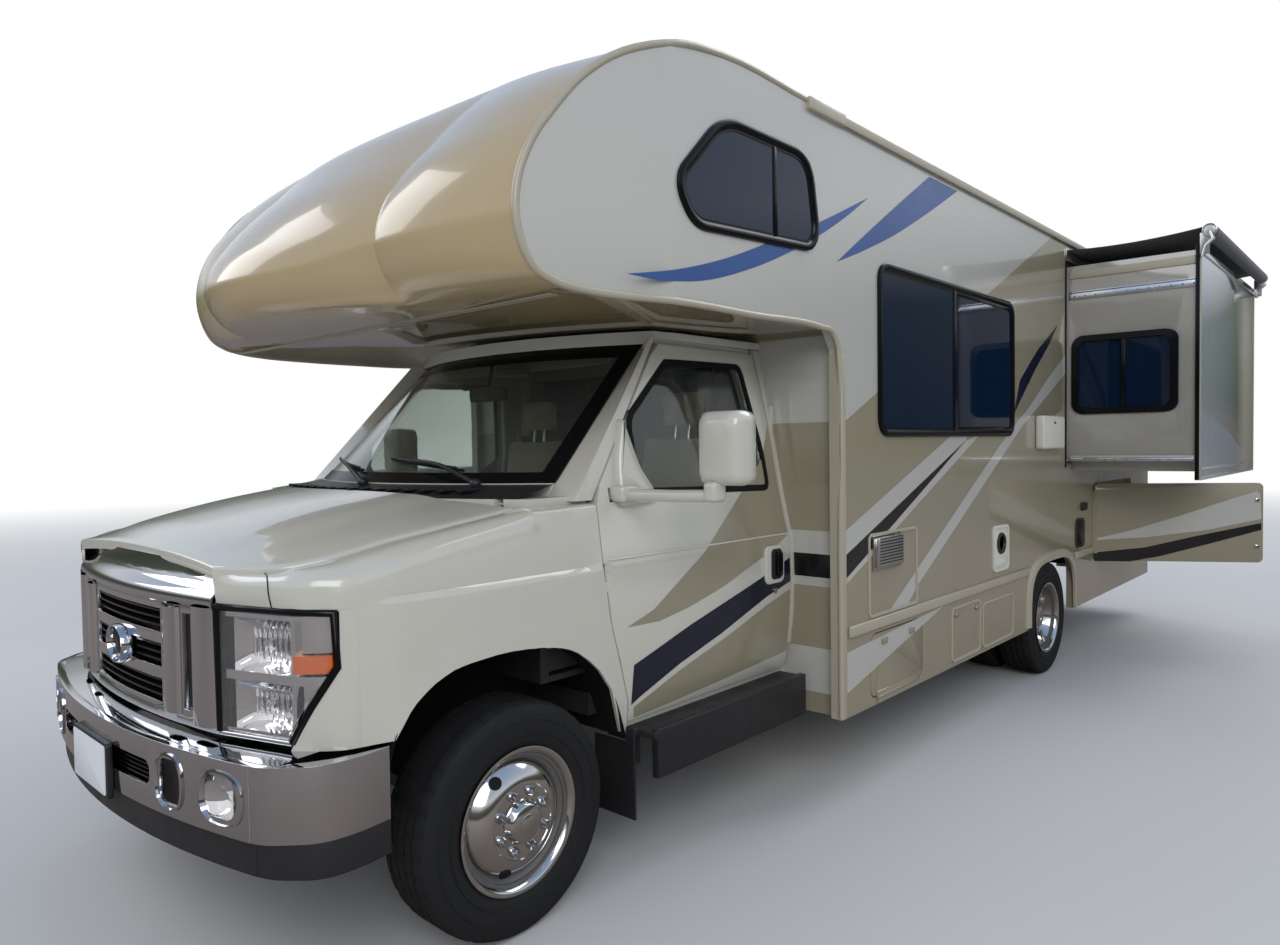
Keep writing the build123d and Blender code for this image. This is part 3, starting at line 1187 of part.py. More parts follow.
def main():
    """Write every node."""
    os.makedirs("parts", exist_ok=True)
    save("chassis_frame", chassis_frame())
    save("floor_joists", *floor_joists())
    save("engine", *engine())
    save("tanks", *tanks())
    save("front_axle", front_axle())
    save("rear_axle", rear_axle())
    save("hitch_receiver", hitch_receiver())
    save("knuckle_left", knuckle())
    save("knuckle_right", mirrored(knuckle()))
    for side, name in ((1, "left"), (-1, "right")):
        tyre, rim = wheel(side, FRONT_WHEEL_X, 0, FRONT_LINER)
        save("front_tyre_" + name, tyre)
        save("front_rim_" + name, rim)
        tyres, rims = twin_wheel(side)
        save("rear_tyres_" + name, *tyres)
        save("rear_rims_" + name, rims)
    save("hood", hood())
    save("front_fenders", wing(), mirrored(wing()))
    save("cab_shell", cab_shell())
    save("windscreen", screen_band(GLASS_FOOT, GLASS_HEAD, GLASS))
    save("dashboard", dashboard())
    save("cab_seats", *[cab_seat(x, y) for x, y in CAB_SEATS])
    save("cab_door_left", cab_door(False))
    save("cab_door_right", mirrored(cab_door(True)))
    save("cab_glass_left", cab_door_glass())
    save("cab_glass_right", mirrored(cab_door_glass()))
    save("front_bumper", bumper(BUMPER_BOTTOM, BUMPER_TOP, BUMPER_FRONT, BUMPER_SKIN))
    save("front_valance", bumper(VALANCE_BOTTOM, BUMPER_BOTTOM, BUMPER_FRONT + 18, BUMPER_SKIN - 5))
    save("grille", grille())
    save("lamps", *lamps())
    save("running_boards", *running_boards())
    save("coach_side_left", coach_side_left())
    save("coach_side_right", coach_side_right())
    save("coach_rear_wall", coach_rear_wall())
    save("coach_front_wall", coach_front_wall())
    save("coach_floor", coach_floor())
    save("coach_roof", coach_roof())
    save("front_cap", front_cap())
    save("cabover_side_left", cabover_side())
    save("cabover_side_right", mirrored(cabover_side()))
    save("cabover_floor", cabover_floor())
    save("bay_liners", *bay_liners())
    frames, panes = window_units()
    save("window_frames", *frames)
    save("window_glass", *panes)
    save("roof_units", *roof_units())
    save("patio_awning", patio_awning())
    save("rear_ladder", rear_ladder())
    save("rear_bumper", rear_bumper())
    save("slide_out", slide_out())
    save("slide_window", slide_window())
    save("topper_roller", topper_roller())
    save("topper_fabric", topper_fabric())
    door, pane = entry_door()
    save("entry_door", door)
    save("entry_glass", pane)
    save("rear_bay_door", rear_bay_door())
    save("luggage_door_left", luggage_door(LUGGAGE_Y0, LUGGAGE_Y1, LUGGAGE_Z0, LUGGAGE_Z1, 1))
    save("luggage_door_right", luggage_door(RIGHT_BAY_Y0, RIGHT_BAY_Y1, LUGGAGE_Z0, RIGHT_BAY_Z1, -1))


main()
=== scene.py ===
import json
import math

import bmesh
import bpy
from mathutils import Matrix, Vector


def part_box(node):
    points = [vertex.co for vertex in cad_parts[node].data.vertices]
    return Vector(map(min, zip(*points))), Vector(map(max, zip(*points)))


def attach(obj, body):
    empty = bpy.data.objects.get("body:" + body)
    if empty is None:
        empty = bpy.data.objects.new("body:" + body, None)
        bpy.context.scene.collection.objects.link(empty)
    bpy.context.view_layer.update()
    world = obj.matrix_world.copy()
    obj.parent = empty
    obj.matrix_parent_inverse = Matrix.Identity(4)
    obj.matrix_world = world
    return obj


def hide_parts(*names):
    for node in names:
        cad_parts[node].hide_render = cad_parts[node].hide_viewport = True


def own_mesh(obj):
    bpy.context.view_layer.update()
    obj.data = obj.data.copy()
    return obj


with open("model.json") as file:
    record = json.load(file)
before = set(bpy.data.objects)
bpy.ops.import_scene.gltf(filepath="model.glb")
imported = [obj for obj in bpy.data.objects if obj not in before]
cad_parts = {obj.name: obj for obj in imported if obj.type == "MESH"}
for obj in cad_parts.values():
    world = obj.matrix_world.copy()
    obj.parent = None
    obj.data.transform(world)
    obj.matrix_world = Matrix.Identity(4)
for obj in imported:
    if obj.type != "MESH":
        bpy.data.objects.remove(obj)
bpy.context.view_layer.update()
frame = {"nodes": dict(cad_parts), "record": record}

# The vehicle's own coordinates: x to its left from its middle, y rearwards from the front axle, z up


def middle(node):
    low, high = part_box(node)
    return (low + high) / 2


CENTRE_X = middle("grille").x
AXLE_Y = middle("front_tyre_left").y
SHIFT = Vector((CENTRE_X, AXLE_Y, 0))
WALL = 0.050
SIDE_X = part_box("coach_rear_wall")[1].x - CENTRE_X + WALL
WHEELBASE = middle("rear_tyres_left").y - AXLE_Y
TYRE_RADIUS = (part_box("front_tyre_left")[1].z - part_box("front_tyre_left")[0].z) / 2
FRONT_WHEEL_X = middle("front_tyre_left").x - CENTRE_X
REAR_WALL_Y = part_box("coach_rear_wall")[1].y - AXLE_Y
FRONT_WALL_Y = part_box("coach_front_wall")[0].y - AXLE_Y
COACH_FRONT = 1.518
SLIDE_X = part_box("slide_out")[1].x - CENTRE_X
SLIDE_FRONT_Y, SLIDE_REAR_Y = 4.570, 6.710
TWO_SIDES = ((1, "left"), (-1, "right"))

# Height of painted shapes over their surface
LIFT = 0.0008

# The cab side's half width at each height
CAB_SIDE = [(0.440, 0.940), (0.600, 0.978), (0.780, 0.999), (0.950, 1.007), (1.110, 1.002), (1.180, 0.984),
            (1.330, 0.950), (1.955, 0.830)]


def cab_x(z):
    for (z0, x0), (z1, x1) in zip(CAB_SIDE, CAB_SIDE[1:]):
        if z <= z1:
            return x0 + (x1 - x0) * (z - z0) / (z1 - z0)
    return CAB_SIDE[-1][1]


class Tree:
    """A node tree, with short ways to add and join nodes."""

    def __init__(self, tree):
        self.tree = tree

    def add(self, kind, **settings):
        node = self.tree.nodes.new(kind)
        for key, value in settings.items():
            setattr(node, key, value)
        return node

    def put(self, node, values):
        """Gives a node's inputs their values, or links them to outputs of other nodes."""
        for key, value in values.items():
            if hasattr(value, "is_output"):
                self.tree.links.new(value, node.inputs[key])
            else:
                node.inputs[key].default_value = (*value, 1) if isinstance(value, tuple) else value
        return node

    def mix(self, factor, a, b):
        return self.put(self.add("ShaderNodeMix", data_type="RGBA"), {0: factor, 6: a, 7: b}).outputs[2]

    def blend(self, factor, a, b):
        return self.put(self.add("ShaderNodeMixShader"), {0: factor, 1: a, 2: b}).outputs[0]

    def math(self, kind, *values):
        return self.put(self.add("ShaderNodeMath", operation=kind), dict(enumerate(values))).outputs[0]

    def spread(self, value, low, high, start=0.3, end=0.7):
        """Maps a value from one range to another."""
        ranges = {"Value": value, "From Min": start, "From Max": end, "To Min": low, "To Max": high}
        return self.put(self.add("ShaderNodeMapRange"), ranges).outputs["Result"]

    def ramp(self, value, stops):
        """A colour that runs through (position, colour) stops, the first at 0 and the last at 1."""
        node = self.put(self.add("ShaderNodeValToRGB"), {0: value})
        elements = node.color_ramp.elements
        elements[0].color = (*stops[0][1], 1)
        elements[1].color = (*stops[-1][1], 1)
        for position, colour in stops[1:-1]:
            elements.new(position).color = (*colour, 1)
        return node.outputs["Color"]


# Materials


class Nodes(Tree):
    """A material's node tree."""

    def __init__(self, name):
        self.material = bpy.data.materials.new(name)
        self.material.use_nodes = True
        super().__init__(self.material.node_tree)
        self.shader = self.tree.nodes["Principled BSDF"]
        self.place = self.add("ShaderNodeTexCoord").outputs["Object"]

    def noise(self, scale, detail=3.0):
        node = self.add("ShaderNodeTexNoise")
        return self.put(node, {"Scale": scale, "Detail": detail, "Vector": self.place}).outputs["Fac"]

    def bump(self, height, strength, distance):
        node = self.put(self.add("ShaderNodeBump"),
                        {"Strength": strength, "Distance": distance, "Height": height})
        self.put(self.shader, {"Normal": node.outputs["Normal"]})


def shade(colour, factor):
    return tuple(min(1.0, c * factor) for c in colour)


def finish(name, colour, rough, metal=0.0, coat=0.0, grain=0.05, scale=3.0, bump=0.0, bump_scale=200.0,
           level=0.5):
    """A material whose colour and roughness drift a little over the surface."""
    n = Nodes(name)
    n.put(n.shader, {
        "Base Color": n.mix(n.noise(scale), shade(colour, 1 - grain), shade(colour, 1 + grain)),
        "Roughness": n.spread(n.noise(scale * 4), rough * 0.85, rough * 1.15),
        "Metallic": metal, "Coat Weight": coat, "Coat Roughness": 0.04, "Specular IOR Level": level,
    })
    if bump:
        n.bump(n.noise(bump_scale, 2.0), bump, 0.001)
    return n.material


CAB_WHITE = (0.56, 0.535, 0.455)
COACH_WHITE = (0.47, 0.455, 0.41)
COACH_TAN = (0.285, 0.25, 0.17)
CAP_GOLD = (0.44, 0.335, 0.185)


# The line between tan and silver on the coach's sides: a point's y and z, and the rise for each metre
PAINT_LINE_Y, PAINT_LINE_Z, PAINT_LINE_RISE = 1.545, 1.617, 0.4515


def coach_side_paint():
    """Tan below a rising line and pale silver above it."""
    n = Nodes("coach_side_paint")
    split = n.put(n.add("ShaderNodeSeparateXYZ"), {0: n.place}).outputs
    start = PAINT_LINE_Z - PAINT_LINE_RISE * (PAINT_LINE_Y + AXLE_Y)
    line = n.math("MULTIPLY_ADD", split["Y"], PAINT_LINE_RISE, start)
    above = n.math("GREATER_THAN", n.math("SUBTRACT", split["Z"], line), 0.0)
    drift = n.noise(1.5)
    tan = n.mix(drift, shade(COACH_TAN, 0.94), shade(COACH_TAN, 1.06))
    white = n.mix(drift, shade(COACH_WHITE, 0.96), shade(COACH_WHITE, 1.03))
    n.put(n.shader, {
        "Base Color": n.mix(above, tan, white), "Roughness": n.spread(n.noise(6.0), 0.16, 0.22),
        "Coat Weight": 0.8, "Coat Roughness": 0.03,
    })
    return n.material


def glass(name, tint, through, level=0.5):
    n = Nodes(name)
    n.put(n.shader, {
        "Base Color": n.mix(n.noise(2.0), shade(tint, 0.9), shade(tint, 1.1)),
        "Roughness": n.spread(n.noise(5.0), 0.014, 0.026),
        "Transmission Weight": through, "IOR": 1.45, "Specular IOR Level": level,
    })
    return n.material


def weave(name, colour, scale):
    """Cloth with a fine woven bump."""
    n = Nodes(name)
    waves = []
    for direction in ("X", "Y"):
        wave = n.add("ShaderNodeTexWave", bands_direction=direction)
        waves.append(n.put(wave, {"Scale": scale, "Vector": n.place}).outputs["Fac"])
    n.put(n.shader, {
        "Base Color": n.mix(n.noise(6.0), shade(colour, 0.85), shade(colour, 1.12)),
        "Roughness": n.spread(n.noise(20.0), 0.75, 0.95), "Sheen Weight": 0.25,
    })
    n.bump(n.math("ADD", *waves), 0.25, 0.0008)
    return n.material


M = {
    "cab": finish("cab_paint", CAB_WHITE, 0.22, coat=0.9, grain=0.02),
    "side": coach_side_paint(),
    "tan": finish("coach_tan", COACH_TAN, 0.2, coat=0.8),
    "white": finish("coach_white", COACH_WHITE, 0.2, coat=0.8, grain=0.02),
    "cap": finish("cap_gelcoat", CAP_GOLD, 0.2, coat=0.7, grain=0.04),
    # Cab-over underside: the cap's gold at half brightness, a darker copy that is painted shade for a face turned
    # down
    "under": finish("underside_gelcoat_painted_shade", shade(CAP_GOLD, 0.5), 0.1, coat=0.8),
    "trim": finish("corner_trim", (0.40, 0.355, 0.265), 0.35, coat=0.2),
    "navy": finish("stripe_navy", (0.006, 0.009, 0.024), 0.3, coat=0.2),
    "black_stripe": finish("stripe_black", (0.005, 0.005, 0.006), 0.3, coat=0.15),
    "blue": finish("stripe_blue", (0.022, 0.075, 0.25), 0.3, coat=0.3, grain=0.2, scale=1.2),
    "roof": finish("roof_membrane", (0.70, 0.70, 0.67), 0.7, bump=0.2, bump_scale=60),
    "chrome": finish("chrome", (0.56, 0.56, 0.575), 0.06, metal=1.0, grain=0.02),
    "steel": finish("polished_steel", (0.60, 0.59, 0.57), 0.11, metal=1.0, grain=0.04),
    "silver": finish("silver_rail", (0.62, 0.66, 0.74), 0.25, metal=0.9),
    "tyre": finish("tyre_rubber", (0.012, 0.012, 0.0125), 0.7, bump=0.25, bump_scale=300, level=0.3),
    "black": finish("black_plastic", (0.016, 0.016, 0.018), 0.45, bump=0.15),
    "gloss_black": finish("gloss_black", (0.004, 0.004, 0.005), 0.2, level=0.2),
    "rubber": finish("black_rubber", (0.008, 0.008, 0.009), 0.7, bump=0.2, level=0.2),
    "frame_black": finish("frame_black", (0.02, 0.02, 0.02), 0.55, bump=0.3, bump_scale=80),
    "iron": finish("grey_iron", (0.16, 0.155, 0.15), 0.6, metal=0.5, bump=0.4, bump_scale=90),
    "lens": glass("clear_lens", (0.95, 0.96, 0.98), 0.96),
    "amber": finish("amber_lens", (0.90, 0.17, 0.01), 0.2, coat=0.3),
    "red": finish("red_lens", (0.42, 0.01, 0.008), 0.15, coat=0.5),
    "reflector": finish("lamp_reflector", (0.80, 0.80, 0.81), 0.06, metal=1.0),
    "screen": glass("screen_glass", (0.60, 0.66, 0.63), 0.97, 0.22),
    "plate": finish("blank_plate", (0.72, 0.73, 0.74), 0.35),
    "dark_glass": finish("dark_glass", (0.004, 0.012, 0.032), 0.03, level=0.4),
    "mirror": finish("mirror_glass", (0.72, 0.76, 0.78), 0.03, metal=1.0, grain=0.01),
    "slide_wall": finish("slide_wall", (0.34, 0.32, 0.28), 0.14, coat=0.9, grain=0.02),
    "slide_face": finish("slide_face", (0.40, 0.45, 0.47), 0.06, metal=0.35, coat=1.0, grain=0.03),
    "dash": finish("dash_plastic", (0.06, 0.052, 0.045), 0.6, bump=0.3),
    "carpet": finish("carpet", (0.20, 0.17, 0.13), 0.95, grain=0.2, scale=60, bump=0.8, bump_scale=300),
    "seat": weave("seat_cloth", (0.50, 0.41, 0.29), 260.0),
    "topper": weave("topper_cloth", (0.022, 0.022, 0.025), 320.0),
    "board": finish("inner_board", (0.45, 0.38, 0.28), 0.6, grain=0.12, scale=8),
    "inner": finish("inner_wall", (0.55, 0.52, 0.46), 0.7, grain=0.03),
    "cream": finish("cream_plastic", (0.62, 0.60, 0.52), 0.4),
    "alu": finish("aluminium", (0.62, 0.62, 0.61), 0.35, metal=1.0),
    "awning": finish("awning_case", (0.68, 0.68, 0.66), 0.35, coat=0.3),
}


def steps(low, high, count):
    """Evenly spaced numbers, one more than the count."""
    return [low + (high - low) * k / count for k in range(count + 1)]


def circle(sides):
    """Cosine and sine of evenly spaced angles round a circle."""
    return [(math.cos(2 * math.pi * k / sides), math.sin(2 * math.pi * k / sides)) for k in range(sides)]


def crosswise(along):
    """A direction square to another one."""
    helper = Vector((0, 0, 1)) if abs(along.z) < 0.9 else Vector((1, 0, 0))
    return along.cross(helper).normalized()


def sharp_edges(bm, limit):
    """Edges where two faces turn by more than an angle in degrees."""
    return [e for e in bm.edges if len(e.link_faces) == 2 and e.calc_face_angle(0) > math.radians(limit)]


def round_edges(bm, edges, width, segments):
    bmesh.ops.bevel(bm, geom=edges, offset=width, segments=segments, profile=0.5, affect="EDGES",
                    clamp_overlap=True)


def mesh_of(bm, name, *materials):
    mesh = bpy.data.meshes.new(name)
    bm.to_mesh(mesh)
    bm.free()
    for material in materials:
        mesh.materials.append(M[material])
    return mesh


# Meshes


class Shape:
    """Gathers solids, each with its material, in the vehicle's coordinates, and makes one piece of them."""

    def __init__(self, side=1):
        self.bm = bmesh.new()
        self.names = []
        self.side = side

    def add(self, points, faces, material, bevel=0.0, segments=2):
        """Adds a mesh part, with its sharp edges rounded. Faces that have no area are left out."""
        part = bmesh.new()
        verts = [part.verts.new(p) for p in points]
        for face in faces:
            try:
                part.faces.new([verts[i] for i in face])
            except ValueError:
                continue
        bmesh.ops.remove_doubles(part, verts=part.verts, dist=1e-6)
        bmesh.ops.recalc_face_normals(part, faces=part.faces)
        if bevel:
            round_edges(part, sharp_edges(part, 30), bevel, segments)
        if material not in self.names:
            self.names.append(material)
        made = {v: self.bm.verts.new(v.co) for v in part.verts}
        for face in part.faces:
            new = self.bm.faces.new([made[v] for v in face.verts])
            new.material_index = self.names.index(material)
        part.free()

    def box(self, x0, x1, y0, y1, z0, z1, material, bevel=0.0, segments=2):
        points = [(x, y, z) for x in (x0, x1) for y in (y0, y1) for z in (z0, z1)]
        faces = [(0, 1, 3, 2), (4, 6, 7, 5), (0, 4, 5, 1), (2, 3, 7, 6), (0, 2, 6, 4), (1, 5, 7, 3)]
        self.add(points, faces, material, bevel, segments)

    def prism(self, outline, low, high, axis, material, bevel=0.0, segments=2):
        """outline is (y, z) along x, or (x, z) along y."""
        count = len(outline)
        points = [(c, a, b) if axis == "x" else (a, c, b) for c in (low, high) for a, b in outline]
        faces = [tuple(range(count)), tuple(reversed(range(count, 2 * count)))]
        faces += [(i, (i + 1) % count, (i + 1) % count + count, i + count) for i in range(count)]
        self.add(points, faces, material, bevel, segments)

    def rings(self, rows, material, closed=True, caps=False, bevel=0.0, segments=2):
        """A skin through rows of points with the same count."""
        count = len(rows[0])
        faces = []
        for r in range(len(rows) - 1):
            for i in range(count if closed else count - 1):
                j = (i + 1) % count
                a, b = r * count, (r + 1) * count
                faces.append((a + i, a + j, b + j, b + i))
        if caps:
            faces.append(tuple(reversed(range(count))))
            faces.append(tuple(range((len(rows) - 1) * count, len(rows) * count)))
        self.add([p for row in rows for p in row], faces, material, bevel, segments)

    def tube(self, path, radius, material, sides=10, end=None, bevel=0.0):
        """A round bar along a line of points."""
        path = [Vector(p) for p in path]
        end = radius if end is None else end
        first = (path[1] - path[0]).normalized()
        across = crosswise(first)
        rows = []
        for i, point in enumerate(path):
            before = (point - path[i - 1]).normalized() if i else first
            after = (path[i + 1] - point).normalized() if i + 1 < len(path) else before
            along = (before + after).normalized()
            across = (across - along * across.dot(along)).normalized()
            other = along.cross(across)
            size = (radius + (end - radius) * i / (len(path) - 1)) / max(0.5, along.dot(after))
            rows.append([point + (across * c + other * s) * size for c, s in circle(sides)])
        self.rings(rows, material, caps=True, bevel=bevel)

    def turn(self, profile, centre, material, axis=(1, 0, 0), sides=48):
        """Turns (offset, radius) points about an axis through the centre."""
        along = Vector(axis).normalized()
        across = crosswise(along)
        other = along.cross(across)
        rows = []
        for offset, radius in profile:
            middle = Vector(centre) + along * offset
            rows.append([middle + (across * c + other * s) * max(radius, 1e-5) for c, s in circle(sides)])
        self.rings(rows, material)

    def ball(self, centre, radius, material):
        profile = [(radius * math.cos(tilt), radius * math.sin(tilt)) for tilt in steps(0, math.pi, 10)]
        self.turn(profile, centre, material, (0, 0, 1), 20)

    def sheet(self, rows, material, push=None):
        """A surface through rows of points, given a thickness by a push along a vector."""
        if push is None:
            return self.rings(rows, material, closed=False)
        count, deep = len(rows[0]), len(rows)
        front = [Vector(p) for row in rows for p in row]
        total = len(front)
        faces = []
        for r in range(deep - 1):
            for i in range(count - 1):
                a = r * count + i
                quad = (a, a + 1, a + 1 + count, a + count)
                faces += [quad, tuple(total + k for k in reversed(quad))]
        rim = list(range(count)) + [r * count + count - 1 for r in range(1, deep)]
        rim += [(deep - 1) * count + i for i in reversed(range(count - 1))]
        rim += [r * count for r in reversed(range(1, deep - 1))]
        for a, b in zip(rim, rim[1:] + rim[:1]):
            faces.append((a, b, b + total, a + total))
        self.add(front + [p + Vector(push) for p in front], faces, material)

    def piece(self, name, slot, body="vehicle", smooth=35, instead=None):
        """Makes a piece of a body, which may stand for a node."""
        for v in self.bm.verts:
            v.co.x *= self.side
            v.co += SHIFT
        if self.side < 0:
            bmesh.ops.reverse_faces(self.bm, faces=self.bm.faces)
        thing = place(name, mesh_of(self.bm, name, *self.names), body, smooth)
        if instead:
            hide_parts(instead)
        return thing


def place(name, mesh, body, smooth=35):
    """Links a mesh as a piece of a body."""
    for polygon in mesh.polygons:
        polygon.use_smooth = True
    mesh.set_sharp_from_angle(angle=math.radians(smooth))
    thing = bpy.data.objects.new(name, mesh)
    bpy.context.scene.collection.objects.link(thing)
    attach(thing, body)
    return thing


def pair(name, slot, body="vehicle", smooth=35, instead=None):
    """Makes a piece of what its loop draws for each side. A name that ends in _ gets the side's word."""
    for side, word in TWO_SIDES:
        shape = Shape(side)
        yield shape
        own = lambda text: text + word if text.endswith("_") else text
        stands_for = own(instead) if instead and (side > 0 or instead.endswith("_")) else None
        shape.piece(f"{name}_{word}", slot, own(body), smooth, stands_for)


def body_of(node):
    return next(body for body, nodes in frame["record"]["behaviour"]["bodies"].items() if node in nodes)


def rounded(node, material, width=0.006, segments=2, limit=28, corner=0.0):
    """A copy of a node with its edges rounded, and its upright corners rounded more, which stands for it."""
    bm = bmesh.new()
    bm.from_mesh(frame["nodes"][node].data)
    bmesh.ops.remove_doubles(bm, verts=bm.verts, dist=2e-5)
    bmesh.ops.dissolve_limit(bm, angle_limit=math.radians(1.0), verts=bm.verts, edges=bm.edges)
    if corner:
        upright = []
        for edge in sharp_edges(bm, 8):
            a, b = (v.co for v in edge.verts)
            level = (a - b).xy.length < 0.001 and abs(a.x - CENTRE_X) > 0.8
            if level and edge.calc_face_angle(0) < math.radians(60):
                upright.append(edge)
        round_edges(bm, upright, corner, 6)
    round_edges(bm, sharp_edges(bm, limit), width, segments)
    name = node + "_shell"
    thing = place(name, mesh_of(bm, name, material), body_of(node), 40)
    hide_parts(node)
    return thing


def dress(material, *nodes):
    """Gives nodes that stay their material."""
    for node in nodes:
        mesh = frame["nodes"][node].data
        mesh.materials.clear()
        mesh.materials.append(M[material])


def eased(a, b, start, end, t):
    """A value between two others, with the given slopes at its ends."""
    ahead, back = 3 * t * t - 2 * t ** 3, t ** 3 - t * t
    return a * (1 - ahead) + b * ahead + start * (back - t * t + t) + end * back


def curve(points, count=6):
    """Points of a smooth line through the given ones."""
    line = [Vector(p) for p in points]
    gaps = [(b - a).length for a, b in zip(line, line[1:])]
    slopes = [(b - a) / gap for a, b, gap in zip(line, line[1:], gaps)]
    turns = [slopes[0]]
    for before, after, gap, next_gap in zip(slopes, slopes[1:], gaps, gaps[1:]):
        turns.append((before * next_gap + after * gap) / (gap + next_gap))
    turns.append(slopes[-1])
    made = []
    for i, gap in enumerate(gaps):
        made += [tuple(eased(line[i], line[i + 1], turns[i] * gap, turns[i + 1] * gap, k / count))
                 for k in range(count)]
    return made + [tuple(line[-1])]


def decal(name, outline, on, body, material, cuts=()):
    """A thin painted shape: on turns its points into points of the surface, which bends at level cuts."""
    bm = bmesh.new()
    bmesh.ops.triangulate(bm, faces=[bm.faces.new([bm.verts.new((0, a, b)) for a, b in outline])])
    for level in cuts:
        everything = bm.verts[:] + bm.edges[:] + bm.faces[:]
        bmesh.ops.bisect_plane(bm, geom=everything, plane_co=(0, 0, level), plane_no=(0, 0, 1))
    for v in bm.verts:
        v.co = Vector(on(v.co.y, v.co.z)) + SHIFT
    place(name, mesh_of(bm, name, material), body)


def rounded_rect(a0, a1, b0, b1, radius, count=6):
    """Corner-rounded rectangle as (a, b) points."""
    points = []
    for a, b, start in ((a1 - radius, b1 - radius, 0), (a0 + radius, b1 - radius, 90),
                        (a0 + radius, b0 + radius, 180), (a1 - radius, b0 + radius, 270)):
        for angle in steps(start, start + 90, count):
            turn = math.radians(angle)
            points.append((a + radius * math.cos(turn), b + radius * math.sin(turn)))
    return points


# Coach body

# (outline in y and z, material) of the stripes on each coach side
SIDE_STRIPES = {
    "front_white": ([(1.545, 1.158), (2.656, 1.564), (2.861, 1.568), (2.843, 1.538), (1.545, 1.055)], "white"),
    "front_black": ([(1.545, 1.053), (2.843, 1.538), (1.545, 0.954)], "black_stripe"),
    "front_line": ([(1.545, 0.952), (2.843, 1.536), (3.036, 1.568), (1.545, 0.929)], "white"),
    "mid_white": ([(1.935, 0.755), (3.334, 1.507), (3.520, 1.600), (3.808, 1.727), (4.152, 1.915), (4.530, 2.100),
                   (4.530, 1.975), (3.691, 1.614), (2.256, 0.847), (2.120, 0.755)], "white"),
    "low_white": ([(1.545, 0.642), (2.566, 0.702), (1.545, 0.466)], "white"),
    "navy_rear": ([(3.560, 1.690), (3.663, 1.893), (3.976, 2.094), (4.370, 2.286), (4.218, 2.159),
                   (3.930, 1.967)], "navy"),
    "blue_one": (curve([(0.225, 2.056), (0.458, 2.101), (0.729, 2.177), (0.976, 2.267), (1.348, 2.41),
                        (1.767, 2.592)], 5)
                 + curve([(1.767, 2.590), (1.569, 2.472), (1.347, 2.356), (1.145, 2.264), (0.879, 2.162),
                          (0.588, 2.081), (0.383, 2.055)], 5), "blue"),
    "blue_two": (curve([(1.496, 2.277), (1.788, 2.458), (2.08, 2.634), (2.40, 2.822)], 5)
                 + curve([(2.74, 2.822), (2.348, 2.627), (1.978, 2.457), (1.697, 2.347)], 5), "blue"),
}


def coach_stripes():
    for side, word in TWO_SIDES:
        on = lambda y, z: (side * (SIDE_X + LIFT), y, z)
        for name, (outline, material) in SIDE_STRIPES.items():
            if side > 0 or name != "mid_white":
                decal(f"stripe_{name}_{word}", outline, on, "vehicle", material)


# (low z, high z, material) of the level bands on the front wall beside the cab
WALL_BANDS = [(1.622, 1.990, "white"), (1.054, 1.154, "white"), (0.953, 1.054, "black_stripe"),
              (0.914, 0.953, "white"), (0.452, 0.646, "white")]


def front_wall_bands():
    """Bands on the front wall beside the cab, on each side of it."""
    for shape in pair("wall_bands", "coach_paint"):
        for low, high, material in WALL_BANDS:
            shape.sheet([[(x, FRONT_WALL_Y - LIFT, z) for x in (0.79, SIDE_X - WALL)] for z in (low, high)],
                        material)


# (y, z) at the side wall, at the crease and in the middle, of each row round the cap
CAP_ROWS = [
    (0.060, 2.014, 0.060, 2.000, 0.060, 2.000),
    (0.038, 2.018, -0.060, 2.002, -0.330, 1.998),
    (0.020, 2.024, -0.127, 2.010, -0.400, 2.006),
    (-0.039, 2.055, -0.160, 2.039, -0.440, 2.038),
    (-0.076, 2.111, -0.211, 2.111, -0.465, 2.100),
    (-0.099, 2.208, -0.231, 2.187, -0.445, 2.175),
    (-0.092, 2.297, -0.211, 2.279, -0.385, 2.260),
    (-0.051, 2.412, -0.139, 2.401, -0.275, 2.385),
    (0.032, 2.535, -0.018, 2.539, -0.140, 2.515),
    (0.117, 2.636, 0.136, 2.696, 0.005, 2.655),
    (0.226, 2.725, 0.320, 2.839, 0.215, 2.785),
    (0.480, 2.832, 0.560, 2.880, 0.510, 2.862),
    (0.716, 2.872, 0.800, 2.892, 0.780, 2.900),
    (1.280, 2.875, 1.280, 2.901, 1.280, 2.910),
]
CREASE_X = 0.600
TOE_START, TOE_SLOPE = 0.450, 0.227
CAP_CENTRE = Vector((0, 0.700, 2.400))


def half_width(y):
    return SIDE_X - max(0.0, TOE_START - y) * TOE_SLOPE


def cap_point(row, share):
    """A point of a row: share runs from 0 in the middle over 1 at the crease to 2 at the side wall."""
    wall_y, wall_z, crease_y, crease_z, mid_y, mid_z = row
    if share <= 1:
        bend = share * share
        x, y, z = CREASE_X * share, mid_y + (crease_y - mid_y) * bend, mid_z + (crease_z - mid_z) * bend
    else:
        part = share - 1
        x = CREASE_X + part * (half_width(wall_y) - 0.004 - CREASE_X)
        y = crease_y + (wall_y - crease_y) * part
        z = crease_z + (wall_z - crease_z) * part
    out = (Vector((0, y, z)) - CAP_CENTRE).normalized()
    swell = 0.042 * max(0.0, min(1.0, (2.86 - wall_z) / 0.45)) * min(1.0, max(0.0, wall_z - 2.02) / 0.05)
    lift = 0.004 + (swell * math.sin(math.pi * (share - 1)) ** 0.8 if 1 < share < 2 else 0.0)
    return Vector((x, y, z)) + out * lift


